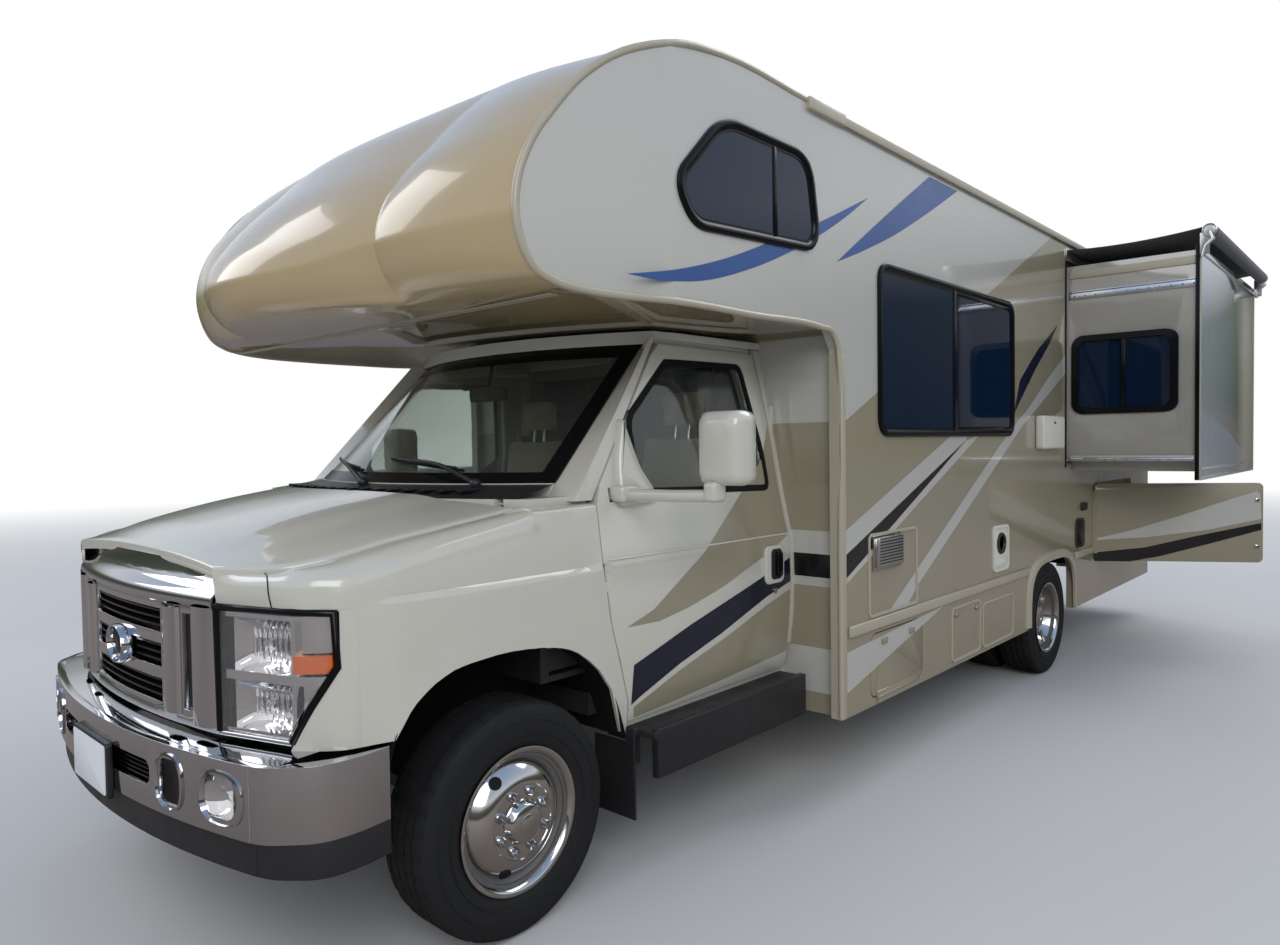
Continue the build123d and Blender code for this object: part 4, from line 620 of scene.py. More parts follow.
def cap():
    """Smooth moulded nose with a soft crease on each side."""
    shares = [0, 0.2, 0.4, 0.6, 0.75, 0.86, 0.94, 0.985, 1.0, 1.015, 1.05, 1.1, 1.17, 1.3, 1.5, 1.7, 1.86,
              1.95, 1.985, 2.0]
    shape = Shape()
    lines = []
    for share in [-v for v in reversed(shares[1:])] + shares:
        points = [cap_point(row, abs(share)) for row in CAP_ROWS]
        lines.append(curve([(math.copysign(p.x, share), p.y, p.z) for p in points], 5))
    shape.sheet(lines, "cap", (0, 0.010, 0))
    shape.piece("cap_shell", "cap_gelcoat", smooth=24, instead="front_cap")
    shape = Shape()
    for side in (1, -1):
        rows = [[(side * x, 0.056, z) for x in (0, 0.3, 0.6, 0.9, 1.10)] for z in (1.994, 1.9985)]
        shape.sheet(rows, "trim", (0, 0.035, 0))
    shape.piece("cap_seam", "cap_gelcoat")


# (y, z) round the bunk window, and low y, high y, low z, high z of the others
BUNK_WINDOW = [(0.724, 2.641), (1.268, 2.641), (1.330, 2.316), (0.560, 2.278), (0.481, 2.394)]
LEFT_WINDOWS = [(1.880, 3.512, 1.586, 2.306)]
RIGHT_WINDOWS = [(3.000, 3.900, 1.586, 2.306), (4.700, 5.500, 1.700, 2.306)]
REAR_WINDOW = (-0.500, 0.500, 1.700, 2.250)


# (growth, height over the wall) from the outside of a window frame to its pane
FRAME_SECTION = ((0.030, -0.001), (0.029, 0.010), (0.024, 0.014), (0.006, 0.014), (0.001, 0.010), (-0.004, 0.004),
                 (-0.012, 0.004), (-0.012, -0.030))


def frame_ring(shape, outline, on):
    """A dark pane in a frame with a raised lip; on turns (a, b, height over the wall) into a point."""
    pane = shrunk(outline, 0.011)
    half = len(pane) // 2
    shape.sheet([[on(a, b, 0.0015) for a, b in part] for part in (pane[:half], pane[:half - 1:-1])], "dark_glass")
    rows = [[on(a, b, proud) for a, b in shrunk(outline, -grow)] for grow, proud in FRAME_SECTION]
    shape.rings(rows, "gloss_black")


def window_frames():
    for shape in pair("window_rings", "dark_glass", smooth=40, instead="window_frames"):
        on = lambda a, b, proud: (SIDE_X + proud, a, b)
        frame_ring(shape, rounded_outline(BUNK_WINDOW, 0.10, 7), on)
        shape.box(SIDE_X - 0.010, SIDE_X + 0.006, 1.030, 1.056, 2.300, 2.640, "gloss_black", 0.003)
        for y0, y1, z0, z1 in (LEFT_WINDOWS if shape.side > 0 else RIGHT_WINDOWS):
            frame_ring(shape, rounded_rect(y0, y1, z0, z1, 0.055), on)
            post = (y0 + y1) / 2
            shape.box(SIDE_X - 0.010, SIDE_X + 0.008, post - 0.018, post + 0.018, z0, z1, "gloss_black", 0.003)
            for low in (z0 + 0.004, z1 - 0.024):
                shape.box(SIDE_X - 0.004, SIDE_X + 0.003, post + 0.018, y1, low, low + 0.020, "gloss_black",
                          0.002)
    shape = Shape()
    frame_ring(shape, rounded_rect(*REAR_WINDOW, 0.055), lambda a, b, proud: (a, REAR_WALL_Y + proud, b))
    shape.piece("window_ring_rear", "dark_glass", smooth=40)


def corner_trims():
    """Beige moulding up the coach side's front edge and round the cab-over's edge to the roof."""
    front = [(COACH_FRONT, 0.37), (COACH_FRONT, 1.10), (COACH_FRONT, 1.86), (1.506, 1.935), (1.462, 1.990),
             (1.38, 2.0), (0.9, 2.0), (0.46, 2.0), (0.2, 2.001), (0.12, 2.006)]
    path = [(half_width(y) - 0.003, y, z) for y, z in front + [row[:2] for row in CAP_ROWS]]
    for shape in pair("corner_trim", "coach_paint", smooth=50):
        shape.tube(curve(path, 5), 0.0125, "trim", 12)
        shape.box(SIDE_X - 0.05, SIDE_X - 0.004, COACH_FRONT - 0.004, COACH_FRONT + 0.002, 0.365, 1.90, "trim")
        shape.box(SIDE_X - 0.002, SIDE_X + 0.007, COACH_FRONT - 0.002, COACH_FRONT + 0.034, 0.367, 1.90,
                  "trim", 0.003)
        shape.box(SIDE_X - 0.03, SIDE_X + 0.021, 1.27, 1.55, 2.836, 2.886, "trim", 0.006, 3)


def rub_rails():
    for shape in pair("rub_rail", "coach_paint"):
        runs = [(1.57, 3.80), (4.74, 5.16), (6.32, 6.84)] if shape.side > 0 else [(2.62, 3.80), (4.74, 6.84)]
        for y0, y1 in runs:
            shape.box(SIDE_X - 0.001, SIDE_X + 0.014, y0, y1, 0.704, 0.752, "trim", 0.006, 3)


# (growth, height over the wall) of a rear flare's section, and the arch's half width, foot and top
FLARE_SECTION = ((-0.012, 0.0), (-0.012, 0.016), (0.010, 0.022), (0.035, 0.016), (0.045, 0.0))
REAR_ARCH_HALF, REAR_ARCH_FOOT, REAR_ARCH_TOP = 0.455, 0.38, 0.765


def powered(value, power):
    return math.copysign(abs(value) ** power, value)


def arch_flares():
    """Flare round each rear wheel arch."""
    for shape in pair("arch_flare", "coach_paint", smooth=60):
        rows = []
        for angle in steps(0, math.pi, 28):
            rows.append([(SIDE_X + proud, WHEELBASE - (REAR_ARCH_HALF + grow) * powered(math.cos(angle), 0.55),
                          REAR_ARCH_FOOT + (REAR_ARCH_TOP + grow - REAR_ARCH_FOOT) * abs(math.sin(angle)) ** 0.55)
                         for grow, proud in FLARE_SECTION])
        shape.rings(rows, "trim", caps=True)


def hatch_ring(shape, y0, y1, z0, z1, radius, width=0.014, proud=0.006, material="trim"):
    """A raised frame on the left side."""
    outer = rounded_rect(y0, y1, z0, z1, radius)
    inner = rounded_rect(y0 + width, y1 - width, z0 + width, z1 - width, max(radius - width, 0.004))
    section = ((outer, -0.001), (outer, proud), (inner, proud), (inner, -0.001))
    shape.rings([[(SIDE_X + rise, a, b) for a, b in points] for points, rise in section], material, bevel=0.0015,
                segments=1)


def side_block(shape, y0, y1, z0, z1, radius, low, high, material, bevel, segments=2):
    """A block with rounded corners on the left side, between two heights over it."""
    shape.prism(rounded_rect(y0, y1, z0, z1, radius), SIDE_X + low, SIDE_X + high, "x", material, bevel, segments)


def hatches():
    """Furnace hatch with its vent, two more low hatches, the power inlet, the outside box and the water inlet."""
    shape = Shape()
    x = SIDE_X
    hatch_ring(shape, 1.752, 2.240, 0.757, 1.130, 0.03)
    hatch_ring(shape, 2.640, 3.030, 0.385, 0.673, 0.04)
    hatch_ring(shape, 3.060, 3.540, 0.385, 0.640, 0.04)
    for y in (2.70, 2.97):
        shape.tube([(x, y, 0.63), (x + 0.012, y, 0.63)], 0.014, "alu", 16, bevel=0.003)
    hatch_ring(shape, 3.215, 3.455, 0.786, 1.048, 0.035, 0.018, 0.010, "cream")
    side_block(shape, 3.233, 3.437, 0.804, 1.030, 0.02, -0.001, 0.004, "cream", 0.002)
    shape.turn([(0.003, 0.062), (0.014, 0.060), (0.014, 0.046), (0.004, 0.042), (0.004, 0.0)], (x, 3.335, 0.945),
               "black", sides=28)
    side_block(shape, 3.26, 3.41, 0.815, 0.86, 0.012, 0.003, 0.010, "cream", 0.003)
    # Furnace vent with slats
    y0, y1, z0, z1 = 1.787, 2.055, 0.962, 1.120
    shape.box(x, x + 0.010, y0, y1, z0, z1, "steel", 0.004)
    shape.box(x + 0.008, x + 0.030, y0 + 0.015, y1 - 0.015, z0 + 0.012, z1 - 0.012, "alu", 0.008)
    for k in range(9):
        z = z0 + 0.024 + k * 0.0135
        shape.box(x + 0.029, x + 0.034, y0 + 0.022, y1 - 0.022, z, z + 0.007, "alu", 0.001)
        shape.box(x + 0.0295, x + 0.0305, y0 + 0.022, y1 - 0.022, z + 0.007, z + 0.0135, "black")
    shape.piece("service_hatches", "coach_paint")
    shape = Shape()
    side_block(shape, 3.935, 4.345, 1.476, 1.684, 0.02, 0, 0.055, "cream", 0.012, 3)
    shape.ball((x + 0.056, 4.13, 1.64), 0.008, "black")
    shape.piece("outside_box", "coach_paint")
    shape = Shape()
    side_block(shape, 4.762, 4.962, 0.775, 0.980, 0.045, -0.001, 0.010, "black", 0.004)
    side_block(shape, 4.78, 4.944, 0.793, 0.962, 0.035, 0.009, 0.013, "gloss_black", 0.002)
    shape.box(x, x + 0.02, 4.88, 4.99, 1.03, 1.085, "black", 0.006)
    shape.piece("water_inlet", "coach_paint")


def roof_edges():
    """Gutter rail along each side's top edge."""
    for shape in pair("gutter", "coach_paint"):
        shape.box(SIDE_X - 0.002, SIDE_X + 0.016, 1.29, REAR_WALL_Y - 0.005, 2.846, 2.872, "trim", 0.005)
        shape.box(SIDE_X + 0.010, SIDE_X + 0.018, 1.29, REAR_WALL_Y - 0.005, 2.840, 2.876, "trim", 0.002)


def coach_body():
    dress("side", "coach_side_left", "cabover_side_left", "coach_side_right", "cabover_side_right")
    dress("tan", "coach_front_wall", "coach_rear_wall")
    dress("carpet", "coach_floor")
    dress("board", "bay_liners")
    dress("roof", "coach_roof")
    dress("dark_glass", "window_glass")
    dress("black", "tanks")
    dress("alu", "rear_ladder")
    window_frames()
    rounded("roof_units", "roof", 0.03, 3)
    rounded("patio_awning", "awning", 0.006)
    rounded("rear_bumper", "cap", 0.015, 3)
    cap()
    # The cab-over's floor gets the cap's gold darkened to half, painted shade for its downward face
    rounded("cabover_floor", "under", 0.004)
    coach_stripes()
    front_wall_bands()
    corner_trims()
    rub_rails()
    arch_flares()
    hatches()
    roof_edges()


# Cab


# (outline in y and z, material) of the stripes on each cab door
DOOR_STRIPES = {
    "tan": ([(1.519, 1.617), (1.431, 1.47), (1.197, 1.302), (0.953, 1.135), (0.612, 0.939), (0.473, 0.898),
             (0.65, 0.893), (0.823, 0.92), (1.033, 0.969), (1.318, 1.058), (1.500, 1.128), (1.519, 1.140),
             (1.519, 1.535)], "tan"),
    "navy": ([(0.516, 0.756), (0.826, 0.849), (1.312, 0.975), (1.519, 1.034), (1.519, 0.930), (1.339, 0.886),
              (1.039, 0.787), (0.777, 0.71), (0.566, 0.632), (0.516, 0.610)], "navy"),
    "low": ([(0.530, 0.598), (0.78, 0.684), (1.064, 0.763), (1.341, 0.85), (1.519, 0.895), (1.519, 0.619),
             (1.117, 0.590), (0.805, 0.570), (0.54, 0.556)], "tan"),
}


# (y, z) round the cab door's window
CAB_WINDOW = [(0.600, 1.356), (0.600, 1.640), (0.875, 1.872), (1.385, 1.880), (1.450, 1.500), (1.450, 1.330),
              (0.690, 1.350)]
MIRROR_PIVOT, MIRROR_FOLD = (0.985, 0.500), math.radians(70)


# (y, z) round the mirror's sail, and (y, growth) of the sections of its head
MIRROR_SAIL = [(0.487, 1.315), (0.690, 1.330), (0.672, 1.385), (0.622, 1.450), (0.588, 1.560), (0.570, 1.633),
               (0.552, 1.620), (0.505, 1.470)]


MIRROR_HEAD = [(0.506, -0.040), (0.512, -0.018), (0.530, -0.004), (0.575, 0.0), (0.612, -0.003),
               (0.619, -0.010)]


def rounded_outline(points, radius, count=5):
    """A polygon's points with its corners rounded."""
    made = []
    for i, corner in enumerate(points):
        here = Vector(corner)
        before, after = Vector(points[i - 1]) - here, Vector(points[(i + 1) % len(points)]) - here
        reach = min(radius, before.length * 0.45, after.length * 0.45)
        a, b = here + before.normalized() * reach, here + after.normalized() * reach
        made += [tuple(a * (1 - t) ** 2 + here * (2 * t * (1 - t)) + b * t * t) for t in steps(0, 1, count)]
    return made


def shrunk(points, amount):
    """A rounded outline moved inwards by an amount."""
    centre = sum((Vector(p) for p in points), Vector((0, 0))) / len(points)
    made = []
    for i, point in enumerate(points):
        along = Vector(points[(i + 1) % len(points)]) - Vector(points[i - 1])
        normal = Vector((along.y, -along.x)).normalized()
        if normal.dot(centre - Vector(point)) < 0:
            normal = -normal
        made.append(tuple(Vector(point) + normal * amount))
    return made


def window_rubber(shape, outline, proud, width):
    """A rubber ring round a window in the cab's side."""
    inner = shrunk(outline, width)
    section = ((outline, 0.0), (outline, proud), (inner, proud), (inner, -0.004))
    shape.rings([[(cab_x(z) + push, y, z) for y, z in points] for points, push in section], "rubber")


def mirror():
    """Sail, arm and head of each door mirror; the right one is folded back against its window."""
    sail = rounded_outline(MIRROR_SAIL, 0.03, 3)
    x = cab_x(1.40)
    for shape in pair("mirror_sail", "cab_paint", "cab_door_", 50):
        section = ((sail, -0.012), (sail, 0.020), (shrunk(sail, 0.012), 0.030))
        shape.rings([[(cab_x(z) + push, y, z) for y, z in ring] for ring, push in section], "cab", caps=True)
        shape.box(x - 0.01, x + 0.068, 0.462, 0.560, 1.335, 1.395, "cab", 0.016, 3)
    for shape in pair("mirror", "cab_paint", "cab_door_", 50):
        shape.tube([(0.975, 0.500, 1.362), (1.20, 0.505, 1.362), (1.36, 0.520, 1.366)], 0.021, "cab", 16)
        shape.box(1.330, 1.382, 0.492, 0.560, 1.345, 1.412, "cab", 0.014, 3)
        rows = []
        for y, grow in MIRROR_HEAD:
            ring = rounded_rect(1.287 - grow, 1.463 + grow, 1.397 - grow, 1.643 + grow, 0.035 - grow * 0.1)
            rows.append([(a, y, b) for a, b in ring])
        shape.rings(rows, "cab", caps=True)
        shape.prism(rounded_rect(1.303, 1.447, 1.475, 1.628, 0.02), 0.617, 0.6215, "y", "mirror")
        shape.prism(rounded_rect(1.303, 1.447, 1.412, 1.465, 0.015), 0.617, 0.6215, "y", "mirror")
        if shape.side < 0:
            turn = Matrix.Rotation(MIRROR_FOLD, 3, "Z")
            bmesh.ops.rotate(shape.bm, verts=shape.bm.verts, cent=(*MIRROR_PIVOT, 0), matrix=turn)


def cab_doors():
    """Door skins without the solids' plain mirrors, with their stripes, window rubbers, handles and mirrors."""
    levels = [z for z, _ in CAB_SIDE]
    for side, word in TWO_SIDES:
        body = "cab_door_" + word
        door = rounded(body, "cab", 0.005, 3, limit=35)
        bm = bmesh.new()
        bm.from_mesh(door.data)
        old = [v for v in bm.verts if side * (v.co.x - CENTRE_X) > cab_x(v.co.z) + 0.018 and v.co.z > 1.3]
        bmesh.ops.delete(bm, geom=old, context="VERTS")
        bm.to_mesh(door.data)
        bm.free()
        dress("screen", "cab_glass_" + word)
        on = lambda y, z: (side * (cab_x(z) + LIFT), y, z)
        for name, (outline, material) in DOOR_STRIPES.items():
            decal(f"door_{name}_{word}", outline, on, body, material, levels)
    mirror()
    for shape in pair("door_trim", "cab_paint", "cab_door_"):
        window_rubber(shape, rounded_outline(CAB_WINDOW, 0.05), 0.003, 0.026)
        x = cab_x(1.02)
        shape.prism(rounded_rect(1.320, 1.462, 0.937, 1.100, 0.03), x - 0.004, x + 0.010, "x", "cab", 0.005, 3)
        shape.prism(rounded_rect(1.360, 1.440, 0.955, 1.085, 0.02), x + 0.009, x + 0.014, "x", "black", 0.003)
        shape.prism(rounded_rect(1.385, 1.425, 0.965, 1.075, 0.015), x + 0.012, x + 0.030, "x", "gloss_black",
                    0.006, 3)
        shape.tube([(x - 0.002, 1.40, 0.905), (x + 0.006, 1.40, 0.905)], 0.012, "steel", 16)
        crease = cab_x(1.14) + 0.0005
        shape.tube([(crease, 0.40, 1.140), (crease, 1.515, 1.140)], 0.004, "cab", 8)


# (half width, corner y, middle y, z) of the windscreen's foot and head
GLASS_FOOT = (0.800, 0.330, 0.070, 1.405)
GLASS_HEAD = (0.745, 0.855, 0.665, 1.935)


def arc_y(x, half, corner, middle):
    """y of an arc through the middle and both corners."""
    sag = corner - middle
    radius = (half * half + sag * sag) / (2 * sag)
    return middle + radius - math.sqrt(radius * radius - x * x)


def on_screen(share, rise, lift=0.0):
    """A point on the windscreen: share from -1 to 1 across it, rise from 0 to 1 up it."""
    points = []
    for half, corner, middle, z in (GLASS_FOOT, GLASS_HEAD):
        x = half * share
        points.append(Vector((x, arc_y(x, half, corner, middle), z)))
    out = Vector((share * 0.45, -0.72, 0.55)).normalized()
    return tuple(points[0].lerp(points[1], rise) + out * lift)


def windscreen():
    """Black band round the glass, the cowl below it, both wipers, and the mirror and visors behind it."""
    dress("screen", "windscreen")
    shape = Shape()
    for levels in ((-0.012, 0.07), (0.90, 1.015)):
        shape.sheet([[on_screen(share, rise, 0.0015) for share in steps(-1, 1, 28)] for rise in levels],
                    "gloss_black")
    for side in (-1, 1):
        rows = [[on_screen(side * share, rise, 0.0015) for rise in steps(-0.01, 1.01, 12)]
                for share in (0.93, 1.0)]
        shape.sheet(rows, "gloss_black")
    cowl_front = lambda x: arc_y(x, 0.88, 0.112, -0.083)
    cowl_rear = lambda x: arc_y(x, *GLASS_FOOT[:3])
    rows = []
    for part, z in ((0.0, 1.3645), (0.25, 1.372), (0.6, 1.384), (1.0, 1.402)):
        row = []
        for share in steps(-1, 1, 28):
            front = Vector((0.860 * share, cowl_front(0.860 * share) + 0.004, z))
            row.append(front.lerp(Vector((0.800 * share, cowl_rear(0.800 * share) - 0.006, z)), part))
        rows.append(row)
    shape.sheet(rows, "black")
    for x in steps(-0.615, 0.615, 15):
        low, high = cowl_front(x) + 0.05, cowl_rear(x) - 0.06
        if high - low > 0.02:
            shape.box(x - 0.02, x + 0.02, low, high, 1.376, 1.388, "gloss_black", 0.002)
    shape.piece("screen_surround", "black_plastic")
    shape = Shape()
    for foot, tip in ((0.70, 0.06), (0.02, -0.72)):
        pivot = on_screen(foot, -0.02, 0.020)
        arm = [pivot, on_screen((foot * 2 + tip) / 3, 0.075, 0.045),
               on_screen((foot + 2 * tip) / 3, 0.125, 0.034)]
        shape.tube(curve(arm, 6), 0.010, "black", 10, end=0.005)
        shape.ball(pivot, 0.020, "black")
        line = []
        for t in steps(0, 1, 14):
            line.append(on_screen(foot + (tip - foot) * (0.18 + 0.82 * t), 0.075 + 0.08 * t, 0.010))
        shape.tube(line, 0.0055, "rubber", 8)
        shape.tube([Vector(q) + Vector((0, -0.004, 0.008)) for q in line[1:-1]], 0.0045, "black", 8)
    shape.piece("wipers", "black_plastic", smooth=60)
    shape = Shape()
    shape.prism(rounded_rect(-0.125, 0.125, 1.735, 1.80, 0.02), 0.66, 0.685, "y", "black", 0.006, 3)
    shape.prism(rounded_rect(-0.115, 0.115, 1.743, 1.792, 0.016), 0.6845, 0.687, "y", "mirror")
    shape.tube([(0, 0.672, 1.79), (0, 0.700, 1.90)], 0.008, "black")
    for x0, x1 in ((-0.62, -0.12), (0.12, 0.62)):
        shape.prism(rounded_rect(x0, x1, 1.865, 1.925, 0.02), 0.80, 0.815, "y", "inner", 0.006, 3)
    shape.piece("cab_mirror_and_visors", "dash_plastic", smooth=50)


def nose_y(x, front=-0.800):
    """y of the grille's and bumper's curved front at a distance from the middle."""
    return front + 0.16 * x * x


def lamp_y(x):
    """y of the lamp's front."""
    if x < 0.83:
        return -0.744 + (x - 0.591) * 0.331
    if x < 0.89:
        t = (x - 0.83) / 0.06
        return -0.6649 + 0.06 * (0.331 * t + (1.10 - 0.331) * t * t / 2)
    return -0.6219 + (x - 0.89) * 1.10


def lamp_edge(z):
    """Outer edge of the lamp at a height."""
    return 0.932 if z > 0.955 else 0.932 - (0.955 - z) * 0.447


def lamp_patch(shape, x0, x1, z0, z1, depth, material, thick=0.0, across=10, up=8):
    """A patch that follows the lamp's front, set back by a depth or a function of its two shares."""
    rows = []
    for v in steps(0, 1, up):
        z = z0 + (z1 - z0) * v
        end = min(x1, lamp_edge(z) - 0.012) if x1 > 0.85 else x1
        row = []
        for u in steps(0, 1, across):
            x = x0 + (end - x0) * u
            row.append((x, lamp_y(x) + (depth(u, v) if callable(depth) else depth), z))
        rows.append(row)
    shape.sheet(rows, material, (0, thick, 0) if thick else None)


# (low x, high x, low z, high z, depth, material, thickness, columns if not 10) behind a head lamp's lens
LAMP_PARTS = [(0.591, 0.990, 0.752, 1.104, 0.075, "black", 0.02),
              (0.600, 0.990, 0.905, 0.930, 0.010, "reflector", 0.05),
              (0.600, 0.990, 1.078, 1.092, 0.010, "reflector", 0.05),
              (0.600, 0.990, 0.757, 0.770, 0.010, "reflector", 0.05),
              (0.598, 0.640, 0.770, 0.905, 0.040, "reflector", 0.01),
              (0.598, 0.640, 0.930, 1.078, 0.040, "reflector", 0.01),
              (0.838, 0.850, 0.765, 1.085, 0.010, "reflector", 0.05, 3),
              (0.850, 0.990, 0.990, 1.078, 0.030, "reflector", 0.01),
              (0.850, 0.990, 0.775, 0.925, 0.030, "reflector", 0.01),
              (0.846, 0.990, 0.938, 0.986, 0.006, "amber", 0.022)]


# (x, z) of the black rim over and outside the lens
LAMP_RIM = [(0.590, 0.757), (0.590, 1.104), (0.70, 1.104), (0.80, 1.104), (0.85, 1.104), (0.928, 1.100),
            (0.932, 0.955), (0.885, 0.850), (0.842, 0.754)]


def lamps():
    """Head lamps with two stacked chambers and an amber marker under a clear lens, and tail lamps."""
    bowl = lambda u, v: 0.012 + 0.055 * (1 - (2 * u - 1) ** 4) * (1 - (2 * v - 1) ** 4)
    for shape in pair("lamp_inside", "lamp_lens", smooth=40, instead="lamps"):
        for z0, z1 in ((0.930, 1.078), (0.770, 0.905)):
            lamp_patch(shape, 0.640, 0.838, z0, z1, bowl, "reflector", 0, 22, 18)
            lamp_patch(shape, 0.600, 0.640, z0, z1, 0.030, "gloss_black")
            for x in steps(0.668, 0.812, 8):
                y = lamp_y(x)
                shape.box(x - 0.002, x + 0.002, y + 0.045, y + 0.064, z0 + 0.035, z1 - 0.035, "reflector", 0.001)
            shape.ball((0.735, lamp_y(0.735) + 0.038, (z0 + z1) / 2), 0.018, "lens")
        for part in LAMP_PARTS:
            lamp_patch(shape, *part)
    for shape in pair("lamp_lens", "lamp_lens", smooth=50):
        lamp_patch(shape, 0.592, 0.99, 0.754, 1.102, 0.0, "lens", 0.003, 24, 16)
    for shape in pair("lamp_rim", "lamp_lens", smooth=60):
        shape.tube([(x, lamp_y(x) + 0.004, z) for x, z in LAMP_RIM], 0.011, "gloss_black", 8)
        shape.tube([(x, lamp_y(x) + 0.004, 0.752) for x in steps(0.590, 0.842, 6)], 0.008, "chrome", 8)
    for shape in pair("tail_lamp", "lamp_lens", smooth=50):
        shape.box(1.060, 1.180, REAR_WALL_Y, REAR_WALL_Y + 0.012, 0.860, 1.120, "black", 0.006)
        for low, high, material in ((0.870, 0.945, "red"), (0.950, 1.025, "amber"), (1.030, 1.110, "lens")):
            shape.prism(rounded_rect(1.070, 1.170, low, high, 0.012), REAR_WALL_Y + 0.010,
                        REAR_WALL_Y + 0.034, "y", material, 0.006, 3)


def front_line(half, push, z, count=16, front=-0.800):
    """Points across the curved front at a height."""
    return [(x, nose_y(x, front) + push, z) for x in steps(-half, half, count)]


# (growth, y) of the boss's rim and face, (y, z) of the ledge over the grille, (x, y) and heights of its posts
BOSS_SECTIONS = {
    "chrome": [(1.0, 0.004), (1.0, -0.020), (0.94, -0.028), (0.86, -0.027), (0.80, -0.016), (0.78, -0.006)],
    "gloss_black": [(0.80, -0.004), (0.79, -0.008), (0.62, -0.014), (0.3, -0.018), (0.05, -0.019)],
}


LEDGE_SECTION = [(-0.002, 1.092), (-0.008, 1.100), (-0.011, 1.112), (-0.009, 1.126), (-0.001, 1.136),
                 (0.010, 1.143), (0.022, 1.153), (0.032, 1.166), (0.038, 1.182)]


POSTS = [
    ([(0.478, 0.004), (0.482, -0.010), (0.500, -0.016), (0.540, -0.016), (0.566, -0.012), (0.580, 0.004)],
     (0.760, 0.90, 1.05, 1.098)),
    ([(0.318, 0.002), (0.322, -0.010), (0.340, -0.016), (0.380, -0.016), (0.398, -0.010), (0.404, 0.002)],
     (0.775, 0.90, 1.02, 1.085)),
]


def grille():
    """Chrome surround with the black louvres between its bars, a bare boss, the ledge over it and its posts."""
    rounded("grille", "chrome", 0.009, 3)
    shape = Shape()
    shape.sheet([front_line(0.289, 0.050, z) for z in (0.785, 1.075)], "black")
    for low in (0.802, 0.907, 1.012):
        for z in steps(low, low + 0.045, 2):
            rows = [front_line(0.289, 0.010, z), front_line(0.289, 0.042, z + 0.012)]
            shape.sheet(rows, "gloss_black", (0, 0, 0.006))
    for x0, x1 in ((-0.467, -0.413), (0.413, 0.467)):
        shape.box(x0, x1, nose_y(0.44) + 0.020, nose_y(0.44) + 0.030, 0.785, 1.075, "black")
    for material, section in BOSS_SECTIONS.items():
        rows = [[(0.078 * c * grow, nose_y(0) + y, 0.930 + 0.062 * s * grow) for c, s in circle(40)]
                for grow, y in section]
        shape.rings(rows, material, caps=True)
    ledge = [front_line(0.582, push, z, 80) for push, z in LEDGE_SECTION]
    last = front_line(0.582, 0.044, 1.197, 80)
    ledge.append([(x, min(y, -0.735), z + 0.022 * (1 - (x / 0.582) ** 2)) for x, y, z in last])
    shape.sheet(ledge, "chrome", (0, 0.006, 0))
    for side in (-1, 1):
        for section, heights in POSTS:
            rows = [[(side * x, nose_y(x) + push, z) for z in heights] for x, push in section]
            shape.rings(rows, "chrome", closed=False)
    shape.piece("grille_mesh", "chrome", smooth=40)


BUMPER_Y = -0.890


# (middle x, half width, half height, glass, its depths, bowl) of the bumper's ovals from the middle outwards
BUMPER_OVALS = [
    (0.505, 0.068, 0.080, "gloss_black", (0.010, 0.012), "gloss_black"),
    (0.735, 0.088, 0.074, "lens", (-0.002, -0.004), "reflector"),
]


def bumper():
    """Black boards and lamps behind the bumper's openings, its step pads and the blank plate."""
    rounded("front_bumper", "chrome", 0.014, 4, corner=0.050)
    rounded("front_valance", "black", 0.012, 3, corner=0.050)
    shape = Shape()
    for x0, x1, z0, z1 in ((-0.41, 0.41, 0.58, 0.67), (0.445, 0.575, 0.55, 0.695), (-0.575, -0.445, 0.55, 0.695),
                           (0.645, 0.795, 0.56, 0.69), (-0.795, -0.645, 0.56, 0.69)):
        shape.sheet([[(x, nose_y(x, BUMPER_Y) + 0.040, z) for x in steps(x0, x1, 12)] for z in (z0, z1)], "black")
    for z in steps(0.598, 0.650, 4):
        rows = [front_line(0.40, push, z, 12, BUMPER_Y) for push in (0.014, 0.034)]
        shape.sheet(rows, "gloss_black", (0, 0, 0.004))
    for side in (-1, 1):
        for middle_x, wide, tall, cover, depths, bowl in BUMPER_OVALS:
            def oval(grow, push):
                ring = [(middle_x + wide * grow * powered(c, 0.8), tall * grow * powered(s, 0.8))
                        for c, s in circle(36)]
                return [(side * x, nose_y(x, BUMPER_Y) + push, 0.622 + up) for x, up in ring]
            rims = ((1.0, 0.004), (1.0, -0.005), (0.93, -0.007), (0.88, 0.006))
            covers = ((0.89, 0.005), (0.6, depths[0]), (0.02, depths[1]))
            bowls = ((0.9, 0.012), (0.5, 0.030), (0.02, 0.034))
            for material, section in (("chrome", rims), (cover, covers), (bowl, bowls)):
                shape.rings([oval(grow, push) for grow, push in section], material)
    shelf = []
    for part, z in ((0.0, 0.7235), (0.5, 0.7300), (1.0, 0.7330)):
        row = []
        for x in steps(-0.90, 0.90, 32):
            front = nose_y(x, -0.876)
            back = nose_y(x) + 0.010 if abs(x) < 0.585 else lamp_y(min(abs(x), 0.92)) + 0.012
            row.append((x, front + (back - front) * part, z))
        shelf.append(row)
    shape.sheet(shelf, "chrome")
    shape.prism(rounded_rect(-0.165, 0.165, 0.495, 0.665, 0.012), BUMPER_Y - 0.014, BUMPER_Y + 0.004, "y",
                "black", 0.005)
    shape.prism(rounded_rect(-0.150, 0.150, 0.505, 0.655, 0.008), BUMPER_Y - 0.017, BUMPER_Y - 0.013, "y",
                "plate", 0.001)
    shape.piece("bumper_openings", "chrome", smooth=40)


